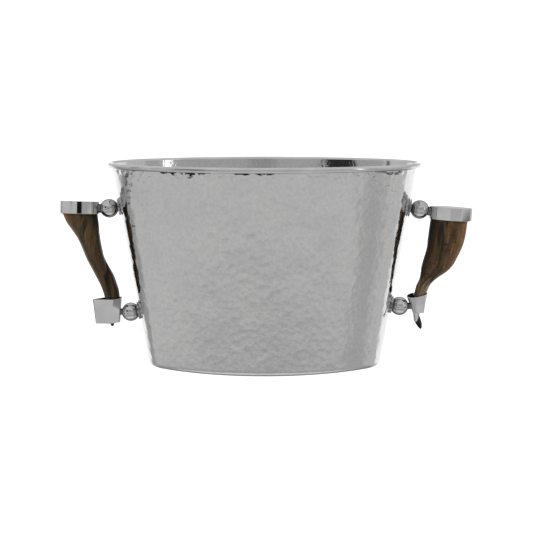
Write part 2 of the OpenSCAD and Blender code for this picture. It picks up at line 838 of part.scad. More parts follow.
module right_horn() {
    horn("right");
}

module right_horn_plug() {
    horn_plug("right");
}

module right_cap_band() {
    cap_band("right");
}

module right_cap_plate() {
    cap_plate("right");
}

module right_upper_neck() {
    upper_neck("right");
}

module right_upper_ball() {
    upper_ball("right");
}

module right_upper_flange() {
    flange("right", foot_z(upper_z("right"), upper_stand), upper_stand, true);
}

module right_upper_screw() {
    screw("right", foot_z(upper_z("right"), upper_stand), upper_stand - ball_radius + thread_depth);
}

module right_upper_washer() {
    washer("right", foot_z(upper_z("right"), upper_stand));
}

module right_upper_seal() {
    seal("right", foot_z(upper_z("right"), upper_stand));
}

module right_lower_sleeve() {
    lower_sleeve("right");
}

module right_lower_neck() {
    lower_neck("right");
}

module right_lower_ball() {
    lower_ball("right");
}

module right_lower_flange() {
    flange("right", foot_z(lower_z("right"), lower_stand), lower_stand, false);
}

module right_lower_screw() {
    screw("right", foot_z(lower_z("right"), lower_stand), flange_thickness + thread_depth - 0.5);
}

module right_lower_washer() {
    washer("right", foot_z(lower_z("right"), lower_stand));
}

module right_lower_seal() {
    seal("right", foot_z(lower_z("right"), lower_stand));
}

body_wall();
rim_wire();
base_plate();
left_horn();
left_horn_plug();
left_cap_band();
left_cap_plate();
left_upper_neck();
left_upper_ball();
left_upper_flange();
left_upper_screw();
left_upper_washer();
left_upper_seal();
left_lower_sleeve();
left_lower_neck();
left_lower_ball();
left_lower_flange();
left_lower_screw();
left_lower_washer();
left_lower_seal();
right_horn();
right_horn_plug();
right_cap_band();
right_cap_plate();
right_upper_neck();
right_upper_ball();
right_upper_flange();
right_upper_screw();
right_upper_washer();
right_upper_seal();
right_lower_sleeve();
right_lower_neck();
right_lower_ball();
right_lower_flange();
right_lower_screw();
right_lower_washer();
right_lower_seal();
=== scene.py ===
"""Looks of an oval hammered champagne bucket with a horn handle at each end.

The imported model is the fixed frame. The wall, its rolled rim, the caps, sleeves,
balls and horns are made again here with their real surfaces, and every other
piece of the frame keeps its shape and gets its finish.
"""

import logging
import math
from dataclasses import dataclass, field
from enum import Enum
from typing import Callable, Sequence

import bpy
import numpy as np
from mathutils import Matrix, Vector, noise


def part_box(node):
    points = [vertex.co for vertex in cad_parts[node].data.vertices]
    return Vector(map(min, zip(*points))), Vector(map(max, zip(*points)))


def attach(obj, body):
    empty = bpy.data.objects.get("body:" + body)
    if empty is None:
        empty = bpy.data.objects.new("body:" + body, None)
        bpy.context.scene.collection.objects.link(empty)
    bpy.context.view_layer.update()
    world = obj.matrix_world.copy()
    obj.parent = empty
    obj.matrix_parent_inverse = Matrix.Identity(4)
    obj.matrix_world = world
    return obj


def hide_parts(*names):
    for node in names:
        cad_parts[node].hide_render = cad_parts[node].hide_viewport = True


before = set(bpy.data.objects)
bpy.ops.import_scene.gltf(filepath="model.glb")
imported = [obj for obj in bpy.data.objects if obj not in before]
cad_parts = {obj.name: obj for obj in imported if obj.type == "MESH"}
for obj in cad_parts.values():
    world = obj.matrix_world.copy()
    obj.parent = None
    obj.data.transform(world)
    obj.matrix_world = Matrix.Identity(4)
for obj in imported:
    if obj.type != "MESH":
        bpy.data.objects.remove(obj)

logging.basicConfig(level=logging.INFO, format="%(name)s: %(message)s")
LOG = logging.getLogger("bucket")
MM = 0.001
BODY = "root"


class Side(Enum):
    """The two ends of the bucket; the value is the direction along X."""

    LEFT = -1
    RIGHT = 1

    @property
    def word(self) -> str:
        """The side's name as the frame's nodes write it."""
        return self.name.lower()


# ----------------------------------------------------------------- workbench


class Bench:
    """Small moves of the workbench that every piece is made with."""

    @staticmethod
    def clear() -> None:
        """Leaves edit mode and deselects everything."""
        if bpy.context.object and bpy.context.object.mode != "OBJECT":
            bpy.ops.object.mode_set(mode="OBJECT")
        bpy.ops.object.select_all(action="DESELECT")

    @staticmethod
    def name(title: str) -> bpy.types.Object:
        """Names the object just added, and its mesh, and returns it."""
        piece = bpy.context.object
        piece.name = title
        piece.data.name = title
        return piece

    @staticmethod
    def take(piece: bpy.types.Object) -> None:
        """Makes a piece the only selected and active object."""
        Bench.clear()
        piece.select_set(True)
        bpy.context.view_layer.objects.active = piece

    @staticmethod
    def edit(piece: bpy.types.Object, kind: str = "VERT", everything: bool = True) -> None:
        """Opens a piece in edit mode with all or nothing of it selected."""
        Bench.take(piece)
        bpy.ops.object.mode_set(mode="EDIT")
        bpy.ops.mesh.select_mode(type=kind)
        bpy.ops.mesh.select_all(action="SELECT" if everything else "DESELECT")

    @staticmethod
    def row_upright(piece: bpy.types.Object, cuts: int) -> None:
        """Cuts a freshly made upright tube into rows, leaving its ends as they are."""
        Bench.edit(piece, "EDGE", everything=False)
        bpy.ops.object.mode_set(mode="OBJECT")
        for edge in piece.data.edges:
            low, high = (piece.data.vertices[k].co.z for k in edge.vertices)
            edge.select = abs(low - high) > 0.5
        bpy.ops.object.mode_set(mode="EDIT")
        bpy.ops.mesh.subdivide(number_cuts=cuts)
        bpy.ops.object.mode_set(mode="OBJECT")

    @staticmethod
    def trace(title: str, points: Sequence[tuple[float, float, float]]) -> bpy.types.Object:
        """Draws a closed outline by pulling one vertex from point to point.

        Args:
            title: name of the new piece.
            points: corners of the outline, in metres.

        Returns:
            The outline as a mesh of edges.
        """
        Bench.clear()
        bpy.ops.mesh.primitive_plane_add(size=0.001, location=(0, 0, 0))
        piece = Bench.name(title)
        Bench.edit(piece)
        bpy.ops.mesh.merge(type="CENTER")
        bpy.ops.transform.translate(value=points[0])
        for before, after in zip(points, points[1:]):
            pull = [b - a for a, b in zip(before, after)]
            bpy.ops.mesh.extrude_region_move(TRANSFORM_OT_translate={"value": pull})
        bpy.ops.mesh.select_all(action="SELECT")
        bpy.ops.object.mode_set(mode="OBJECT")
        mesh = piece.data
        ends = [0, len(points) - 1]
        for v in mesh.vertices:
            v.select = v.index in ends
        for e in mesh.edges:
            e.select = False
        Bench.take(piece)
        bpy.ops.object.mode_set(mode="EDIT")
        bpy.ops.mesh.select_mode(type="VERT")
        bpy.ops.mesh.edge_face_add()
        bpy.ops.mesh.select_all(action="SELECT")
        return piece

    @staticmethod
    def apply(piece: bpy.types.Object, kind: str, **values: object) -> None:
        """Adds one modifier with the given settings and applies it."""
        Bench.take(piece)
        modifier = piece.modifiers.new(kind.lower(), kind)
        for key, value in values.items():
            setattr(modifier, key, value)
        bpy.ops.object.modifier_apply(modifier=modifier.name)

    @staticmethod
    def tidy(piece: bpy.types.Object, merge: float = 0.00001) -> None:
        """Merges doubles and turns every face outward."""
        Bench.edit(piece)
        bpy.ops.mesh.remove_doubles(threshold=merge)
        bpy.ops.mesh.normals_make_consistent(inside=False)
        bpy.ops.object.mode_set(mode="OBJECT")

    @staticmethod
    def smooth(piece: bpy.types.Object, degrees: float = 40.0, flat_faces: bool = False) -> None:
        """Smooths a piece, keeping edges sharper than the given angle.

        Args:
            piece: the piece to smooth.
            degrees: edges sharper than this stay sharp.
            flat_faces: True keeps the broad faces flat right up to their eased edges.
        """
        Bench.take(piece)
        bpy.ops.object.shade_smooth_by_angle(angle=math.radians(degrees))
        if flat_faces:
            Bench.apply(piece, "WEIGHTED_NORMAL", weight=100, keep_sharp=True)

    @staticmethod
    def points(piece: bpy.types.Object) -> np.ndarray:
        """The vertices of a piece as rows of x, y, z."""
        flat = np.empty(3 * len(piece.data.vertices))
        piece.data.vertices.foreach_get("co", flat)
        return flat.reshape(-1, 3)

    @staticmethod
    def place(piece: bpy.types.Object, points: np.ndarray) -> None:
        """Moves the vertices of a piece to the given rows of x, y, z."""
        piece.data.vertices.foreach_set("co", np.ascontiguousarray(points, dtype=np.float64).ravel())
        piece.data.update()

    @staticmethod
    def turn(piece: bpy.types.Object, matrix: Matrix) -> None:
        """Sets a piece at its real place by moving its mesh, not its object."""
        piece.data.transform(matrix)
        piece.data.update()

    @staticmethod
    def face_out(piece: bpy.types.Object) -> None:
        """Turns the faces of an open tube away from its own middle line."""
        middle = Bench.points(piece)[:, :2].mean(axis=0)
        lean = sum((p.center.x - middle[0]) * p.normal.x + (p.center.y - middle[1]) * p.normal.y
                   for p in piece.data.polygons)
        if lean < 0:
            Bench.edit(piece)
            bpy.ops.mesh.flip_normals()
            bpy.ops.object.mode_set(mode="OBJECT")

    @staticmethod
    def settle(piece: bpy.types.Object, nodes: Sequence[str], slot: str,
               material: bpy.types.Material) -> None:
        """Dresses a finished piece, hangs it on the body and hides the frame nodes it is shown instead of.

        Args:
            piece: the finished piece, in place.
            nodes: nodes of the frame that it is shown instead of.
            slot: not used.
            material: the finish.
        """
        piece.data.materials.clear()
        piece.data.materials.append(material)
        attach(piece, BODY)
        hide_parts(*nodes)
        faces = sum(len(p.vertices) - 2 for p in piece.data.polygons)
        LOG.info("%s: %d triangles, stands for %s", piece.name, faces, ", ".join(nodes))


def centre_of(node: str) -> Vector:
    """The middle of a frame node's box."""
    low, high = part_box(node)
    return (Vector(low) + Vector(high)) / 2


# ------------------------------------------------------------------ finishes


class Graph:
    """A short way to write the nodes of one material."""

    def __init__(self, title: str) -> None:
        """Starts a new material with an empty node tree."""
        self.material = bpy.data.materials.new(title + "_finish")
        self.material.use_nodes = True
        self.tree = self.material.node_tree
        self.tree.nodes.clear()
        self.out = self.add("ShaderNodeOutputMaterial")
        self.shader = self.add("ShaderNodeBsdfPrincipled")
        self.link(self.shader.outputs[0], self.out.inputs["Surface"])
        self.coords = self.add("ShaderNodeTexCoord").outputs["Object"]

    def add(self, kind: str, **values: object) -> bpy.types.Node:
        """Adds a node and sets its properties."""
        node = self.tree.nodes.new(kind)
        for key, value in values.items():
            setattr(node, key, value)
        return node

    def link(self, source: bpy.types.NodeSocket, target: bpy.types.NodeSocket) -> None:
        """Links two sockets."""
        self.tree.links.new(source, target)

    def feed(self, node: bpy.types.Node, **sockets: object) -> bpy.types.Node:
        """Sets or links input sockets by name, with spaces written as underscores."""
        for key, value in sockets.items():
            socket = node.inputs[key.replace("_", " ")]
            if isinstance(value, bpy.types.NodeSocket):
                self.link(value, socket)
            else:
                socket.default_value = value
        return node

    def stretched(self, scale: tuple[float, float, float], source: object = None) -> bpy.types.NodeSocket:
        """Coordinates scaled by a different amount along each axis."""
        node = self.add("ShaderNodeMapping")
        self.link(source or self.coords, node.inputs["Vector"])
        node.inputs["Scale"].default_value = scale
        return node.outputs[0]

    def grain(self, scale: float, detail: float = 3.0, rough: float = 0.55, bend: float = 0.0,
              source: object = None) -> bpy.types.NodeSocket:
        """A cloudy grey value; scale is grains for every metre."""
        node = self.add("ShaderNodeTexNoise")
        self.feed(node, Vector=source or self.coords, Scale=scale, Detail=detail,
                  Roughness=rough, Distortion=bend)
        return node.outputs[0]

    def cells(self, scale: float, source: object = None, feature: str = "SMOOTH_F1") -> bpy.types.NodeSocket:
        """A value that falls into one dimple for every cell."""
        node = self.add("ShaderNodeTexVoronoi", feature=feature)
        self.feed(node, Vector=source or self.coords, Scale=scale)
        if feature == "SMOOTH_F1":
            node.inputs["Smoothness"].default_value = 0.6
        return node.outputs["Distance"]

    def ramp(self, value: bpy.types.NodeSocket,
             stops: Sequence[tuple[float, Sequence[float]]]) -> bpy.types.NodeSocket:
        """Turns a grey value into colours at the given stops."""
        node = self.add("ShaderNodeValToRGB")
        self.link(value, node.inputs[0])
        band = node.color_ramp
        while len(band.elements) < len(stops):
            band.elements.new(0.5)
        for element, (at, colour) in zip(band.elements, stops):
            element.position = at
            element.color = (*colour, 1.0)
        return node.outputs[0]

    def spread(self, value: bpy.types.NodeSocket, low: float, high: float,
               start: float = 0.3, end: float = 0.7) -> bpy.types.NodeSocket:
        """Spreads a grey value over a new range."""
        node = self.add("ShaderNodeMapRange", clamp=True)
        self.link(value, node.inputs["Value"])
        for key, number in (("From Min", start), ("From Max", end), ("To Min", low), ("To Max", high)):
            node.inputs[key].default_value = number
        return node.outputs[0]

    def sum(self, a: object, b: object, how: str = "ADD") -> bpy.types.NodeSocket:
        """Adds, multiplies or otherwise joins two grey values."""
        node = self.add("ShaderNodeMath", operation=how)
        for socket, value in zip(node.inputs, (a, b)):
            if isinstance(value, bpy.types.NodeSocket):
                self.link(value, socket)
            else:
                socket.default_value = value
        return node.outputs[0]

    def mix(self, share: object, a: object, b: object, how: str = "MIX") -> bpy.types.NodeSocket:
        """Mixes two colours by a share."""
        node = self.add("ShaderNodeMix", data_type="RGBA", blend_type=how)
        for socket, value in ((node.inputs[0], share), (node.inputs[6], a), (node.inputs[7], b)):
            if isinstance(value, bpy.types.NodeSocket):
                self.link(value, socket)
            else:
                socket.default_value = value if isinstance(value, float) else (*value, 1.0)
        return node.outputs[2]

    def bump(self, height: bpy.types.NodeSocket, strength: float, distance: float,
             under: object = None) -> bpy.types.NodeSocket:
        """Raises the surface by a grey value; distance is in metres."""
        node = self.add("ShaderNodeBump")
        self.feed(node, Height=height, Strength=strength, Distance=distance)
        if under is not None:
            self.link(under, node.inputs["Normal"])
        return node.outputs[0]


@dataclass(frozen=True)
class SilverFinish:
    """Silver-coloured plate: bright metal with faint clouds, fine scratches and hammer mottling; it can also
    carry painted shade in the hammer dimples and a painted reflection under the rim.

    Sizes of marks are in millimetres; depths in thousandths of a millimetre.
    """

    title: str
    bright: tuple[float, float, float] = (0.62, 0.62, 0.615)
    dull: tuple[float, float, float] = (0.50, 0.50, 0.50)
    rough: tuple[float, float] = (0.07, 0.15)
    cloud_size: float = 30.0
    mottle_size: float = 3.0
    mottle_depth: float = 0.0
    scratch_depth: float = 1.0
    edge: float = 1.0
    # Share of painted shade towards the edges of the hammer dimples; nought leaves it out.
    dimple_painted_shade: float = 0.0
    # Height in millimetres that the painted reflection under the rim is measured from; nought leaves it out.
    painted_reflection_reach: float = 0.0

    def marks(self, g: Graph) -> bpy.types.NodeSocket:
        """Painted reflection close under the rim: black, ragged patches in two stretches of the front."""
        place = g.add("ShaderNodeSeparateXYZ")
        g.link(g.coords, place.inputs[0])
        x, y, z = place.outputs
        first = g.sum(g.spread(x, 0, 1, -0.110, -0.084), g.spread(x, 1, 0, -0.070, -0.046), "MULTIPLY")
        second = g.sum(g.spread(x, 0, 0.5, -0.034, -0.020), g.spread(x, 1, 0, 0.008, 0.018), "MULTIPLY")
        stretch = g.sum(g.sum(first, second), g.spread(y, 1, 0, -0.01, 0.0), "MULTIPLY")
        ragged = g.grain(300.0, detail=4.0, rough=0.65, source=g.stretched((0.45, 1.0, 1.0)))
        depth = g.sum(g.spread(ragged, 0.0, 0.0040, 0.40, 0.68), stretch, "MULTIPLY")
        outer = g.add("ShaderNodeAttribute", attribute_name="outer_face").outputs["Fac"]
        depth = g.sum(depth, g.spread(outer, 0.0, 1.0, 0.1, 0.5), "MULTIPLY")
        reach = g.spread(g.sum(z, depth), 0.0, 1.0, self.painted_reflection_reach * MM, (self.painted_reflection_reach + 0.5) * MM)
        return g.sum(reach, g.spread(depth, 0.0, 1.0, 0.0003, 0.0006), "MULTIPLY")

    def build(self) -> bpy.types.Material:
        """Makes the material."""
        g = Graph(self.title)
        clouds = g.grain(1000 / self.cloud_size, detail=4.0, bend=0.4)
        fine = g.grain(1000 / self.mottle_size, detail=2.0)
        scratch = g.grain(90.0, detail=5.0, rough=0.7, source=g.stretched((4.0, 4.0, 38.0)))
        rub = g.grain(160.0, detail=4.0, rough=0.7, source=g.stretched((22.0, 22.0, 3.0)))
        colour = g.mix(g.spread(clouds, 0.0, 1.0, 0.35, 0.7), self.bright, self.dull)
        tone_and_painted_light = g.mix(g.spread(fine, 0.0, 0.35, 0.45, 0.75), colour, self.dull)
        # Painted shade: the colour darkens towards the edge of each hammer dimple, broken up by a woven grain.
        if self.dimple_painted_shade:
            dimple_shade_cells = g.cells(1000 / (1.3 * self.mottle_size))
            weave = g.grain(700 / self.mottle_size, detail=3.0, rough=0.6,
                            source=g.stretched((1.5, 1.5, 0.8)))
            tone_and_painted_light = g.mix(g.spread(g.sum(dimple_shade_cells, weave, "MULTIPLY"), 0.0, self.dimple_painted_shade, 0.10, 0.40), tone_and_painted_light,
                         tuple(c * 0.72 for c in self.bright))
        # Painted reflection: black, ragged patches close under the front of the rim.
        if self.painted_reflection_reach:
            tone_and_painted_light = g.mix(self.marks(g), tone_and_painted_light, (0.02, 0.02, 0.02))
        roughness = g.sum(g.spread(clouds, self.rough[0], self.rough[1]),
                          g.spread(g.sum(scratch, rub, "MULTIPLY"), 0.0, 0.05, 0.2, 0.4))
        marks = g.bump(scratch, 0.5, self.scratch_depth * 1e-6)
        marks = g.bump(rub, 0.4, self.scratch_depth * 1e-6, marks)
        if self.mottle_depth:
            marks = g.bump(g.cells(1000 / self.mottle_size), 0.7, self.mottle_depth * 1e-6, marks)
            marks = g.bump(fine, 0.7, self.mottle_depth * 1e-6, marks)
        g.feed(g.shader, Base_Color=tone_and_painted_light, Metallic=1.0, Roughness=roughness, Normal=marks)
        g.shader.inputs["Specular Tint"].default_value = (self.edge, self.edge, self.edge, 1.0)
        return g.material


@dataclass(frozen=True)
class HornFinish:
    """Polished natural horn: streaks along its growth, blotches, a dark tip and a thin gloss, with painted shade
    in its grooves and on the side facing the bucket, and a painted highlight along its outward side.

    The streaks follow the piece's own attribute "growth", which straightens the horn.
    """

    title: str
    dark: tuple[float, float, float]
    body: tuple[float, float, float]
    warm: tuple[float, float, float]
    pale: tuple[float, float, float]
    blotch: float
    crack: float
    contrast: float = 0.10
    neck: tuple[float, float, float, float] = (0.5, 0.6, 0.7, 0.8)
    neck_pale: float = 0.0

    def build(self) -> bpy.types.Material:
        """Makes the material."""
        g = Graph(self.title)
        growth = g.add("ShaderNodeAttribute", attribute_name="growth").outputs["Vector"]
        age = g.add("ShaderNodeAttribute", attribute_name="age").outputs["Fac"]
        streak = g.grain(150.0, detail=6.0, rough=0.62, bend=0.5,
                         source=g.stretched((1.0, 1.0, 0.10), growth))
        thread = g.grain(620.0, detail=3.0, rough=0.6, source=g.stretched((1.0, 1.0, 0.05), growth))
        blotch = g.grain(70.0, detail=5.0, rough=0.6, bend=0.9,
                         source=g.stretched((1.0, 1.0, 0.45), growth))
        cross = g.grain(330.0, detail=4.0, rough=0.7, source=g.stretched((0.6, 0.6, 1.3), growth))
        shade = g.sum(g.sum(streak, 0.62, "MULTIPLY"), g.sum(thread, 0.38, "MULTIPLY"))
        near, far = 0.5 - self.contrast, 0.5 + self.contrast
        tone = g.ramp(shade, ((near, self.dark), (0.5 - self.contrast * 0.3, self.body), (0.52, self.body),
                              (far, self.warm), (far + 0.11, self.pale)))
        tone = g.mix(g.spread(blotch, 0.0, self.blotch, 0.48, 0.62), tone, self.dark)
        tone = g.mix(g.spread(cross, 0.0, self.crack, 0.56, 0.68), tone, self.dark)
        hollow = g.add("ShaderNodeAttribute", attribute_name="hollow").outputs["Fac"]
        pale_part = g.sum(g.spread(age, 0.0, 1.0, self.neck[0], self.neck[1]),
                          g.spread(age, 1.0, 0.0, self.neck[2], self.neck[3]), "MULTIPLY")
        pale_share = g.sum(pale_part, g.spread(streak, 0.0, self.neck_pale, 0.42, 0.58), "MULTIPLY")
        tone = g.mix(pale_share, tone, self.pale)
        # Painted highlight: a warm orange-brown streak along the outward side of the upper horn.
        outer = g.add("ShaderNodeAttribute", attribute_name="painted_highlight_edge").outputs["Fac"]
        painted_highlight_colour = (0.19, 0.092, 0.038)
        tone = g.mix(g.sum(outer, g.spread(thread, 0.15, 0.75), "MULTIPLY"), tone, painted_highlight_colour)
        # Painted shade from the attribute hollow: darker in the grooves and on the side facing the bucket.
        tone = g.mix(g.spread(hollow, 0.0, 0.85, 0.25, 1.0), tone, self.dark)
        tone = g.mix(g.spread(age, 0.0, 1.0, 0.86, 0.95), tone, (0.012, 0.011, 0.010))
        relief = g.bump(streak, 0.55, 0.00035)
        relief = g.bump(thread, 0.45, 0.00012, relief)
        relief = g.bump(cross, 0.30, 0.00012, relief)
        g.feed(g.shader, Base_Color=tone, Roughness=g.spread(thread, 0.30, 0.50), Normal=relief)
        g.shader.inputs["Specular IOR Level"].default_value = 0.12
        return g.material


@dataclass(frozen=True)
class TurnedSteelFinish:
    """Satin steel of the screws and washers, with fine turning lines."""

    title: str

    def build(self) -> bpy.types.Material:
        """Makes the material."""
        g = Graph(self.title)
        lines = g.grain(900.0, detail=3.0, source=g.stretched((1.0, 0.25, 0.25)))
        cloud = g.grain(220.0, detail=4.0)
        colour = g.mix(g.spread(cloud, 0.0, 1.0), (0.56, 0.56, 0.57), (0.40, 0.40, 0.41))
        g.feed(g.shader, Base_Color=colour, Metallic=1.0, Roughness=g.spread(lines, 0.22, 0.42),
               Normal=g.bump(lines, 0.5, 0.00002))
        return g.material


@dataclass(frozen=True)
class FillerWoodFinish:
    """Plain wood of the plug inside each horn root."""

    title: str

    def build(self) -> bpy.types.Material:
        """Makes the material."""
        g = Graph(self.title)
        rings = g.grain(240.0, detail=5.0, bend=0.8, source=g.stretched((1.0, 1.0, 0.12)))
        pores = g.grain(1500.0, detail=2.0, source=g.stretched((1.0, 1.0, 0.08)))
        colour = g.ramp(rings, ((0.32, (0.30, 0.18, 0.09)), (0.5, (0.46, 0.30, 0.16)),
                                (0.7, (0.58, 0.41, 0.24))))
        g.feed(g.shader, Base_Color=colour, Roughness=g.spread(pores, 0.55, 0.75),
               Normal=g.bump(pores, 0.5, 0.0001))
        return g.material


@dataclass(frozen=True)
class SealFinish:
    """Black rubber of the sealing rings."""

    title: str

    def build(self) -> bpy.types.Material:
        """Makes the material."""
        g = Graph(self.title)
        dust = g.grain(800.0, detail=4.0)
        colour = g.mix(g.spread(dust, 0.0, 1.0), (0.018, 0.018, 0.019), (0.05, 0.05, 0.052))
        g.feed(g.shader, Base_Color=colour, Roughness=g.spread(dust, 0.55, 0.8),
               Normal=g.bump(dust, 0.4, 0.00006))
        return g.material


@dataclass
class Finishes:
    """Every finish of the bucket, each made once."""

    # The hammered wall's finish carries painted shade in its dimples and a painted reflection under the rim.
    hammered: bpy.types.Material = field(default_factory=lambda: SilverFinish(
        "hammered_silver", bright=(0.63, 0.63, 0.625), dull=(0.585, 0.585, 0.585),
        rough=(0.05, 0.11), mottle_size=2.4, mottle_depth=60.0, scratch_depth=1.5,
        dimple_painted_shade=0.34, painted_reflection_reach=201.9).build())
    plain: bpy.types.Material = field(default_factory=lambda: SilverFinish(
        "plain_silver", bright=(0.62, 0.62, 0.615), dull=(0.50, 0.50, 0.50)).build())
    polished: bpy.types.Material = field(default_factory=lambda: SilverFinish(
        "polished_silver", bright=(0.64, 0.64, 0.64), dull=(0.55, 0.55, 0.55),
        rough=(0.02, 0.06), mottle_size=6.0, scratch_depth=0.4, edge=0.35).build())
    ball: bpy.types.Material = field(default_factory=lambda: SilverFinish(
        "ball_silver", bright=(0.56, 0.56, 0.56), dull=(0.50, 0.50, 0.50),
        rough=(0.02, 0.05), mottle_size=6.0, scratch_depth=0.3, edge=0.3).build())
    # Painted shade: near-black silver for the necks, standing in for the shade between cap and ball.
    painted_neck_shade: bpy.types.Material = field(default_factory=lambda: SilverFinish(
        "neck_painted_shade_silver", bright=(0.20, 0.20, 0.20), dull=(0.08, 0.08, 0.08),
        rough=(0.08, 0.25), mottle_size=2.0, cloud_size=6.0, scratch_depth=1.0, edge=0.3).build())
    # Much darker than the other silver, with dark clouds; the flanges are dressed in it.
    flange: bpy.types.Material = field(default_factory=lambda: SilverFinish(
        "dark_clouded_silver", bright=(0.46, 0.46, 0.46), dull=(0.15, 0.15, 0.15),
        rough=(0.04, 0.15), mottle_size=1.5, cloud_size=7.0, scratch_depth=1.0, edge=0.3).build())
    steel: bpy.types.Material = field(default_factory=lambda: TurnedSteelFinish("fixing_steel").build())
    wood: bpy.types.Material = field(default_factory=lambda: FillerWoodFinish("plug_wood").build())
    seal: bpy.types.Material = field(default_factory=lambda: SealFinish("seal_rubber").build())
    left_horn: bpy.types.Material = field(default_factory=lambda: HornFinish(
        "left_horn", dark=(0.012, 0.010, 0.005), body=(0.050, 0.030, 0.014),
        warm=(0.095, 0.052, 0.024), pale=(0.22, 0.13, 0.065), blotch=0.4, crack=0.25,
        contrast=0.13).build())
    right_horn: bpy.types.Material = field(default_factory=lambda: HornFinish(
        "right_horn", dark=(0.012, 0.009, 0.005), body=(0.058, 0.033, 0.015),
        warm=(0.12, 0.062, 0.022), pale=(0.26, 0.19, 0.12), blotch=0.6, crack=0.95,
        contrast=0.10, neck=(0.55, 0.63, 0.70, 0.76), neck_pale=0.6).build())


# -------------------------------------------------------------------- bucket


@dataclass
class FourArcOval:
    """An oval of four arcs; the end arcs hand over on a line that rises 4 for every 3 along."""

    half_length: float
    half_width: float

    @property
    def end_radius(self) -> float:
        """Radius of the two end arcs."""
        return 1.5 * self.half_width - 0.5 * self.half_length

    @property
    def side_radius(self) -> float:
        """Radius of the two side arcs."""
        return self.end_radius + 2.5 * (self.half_length - self.half_width)

    @property
    def end_centre(self) -> float:
        """Distance of an end arc's centre from the middle."""
        return self.half_length - self.end_radius

    @property
    def side_centre(self) -> float:
        """Distance of a side arc's centre from the middle."""
        return self.side_radius - self.half_width

    def at(self, angle: np.ndarray) -> np.ndarray:
        """Points of the oval where its outward direction has the given angles.

        Args:
            angle: directions in radians, from +X toward +Y.

        Returns:
            Rows of x, y.
        """
        c, s = np.cos(angle), np.sin(angle)
        end = np.abs(c) >= 0.6
        x = np.where(end, np.sign(c) * self.end_centre + self.end_radius * c, self.side_radius * c)
        y = np.where(end, self.end_radius * s, self.side_radius * s - np.sign(s) * self.side_centre)
        return np.stack([x, y], axis=-1)


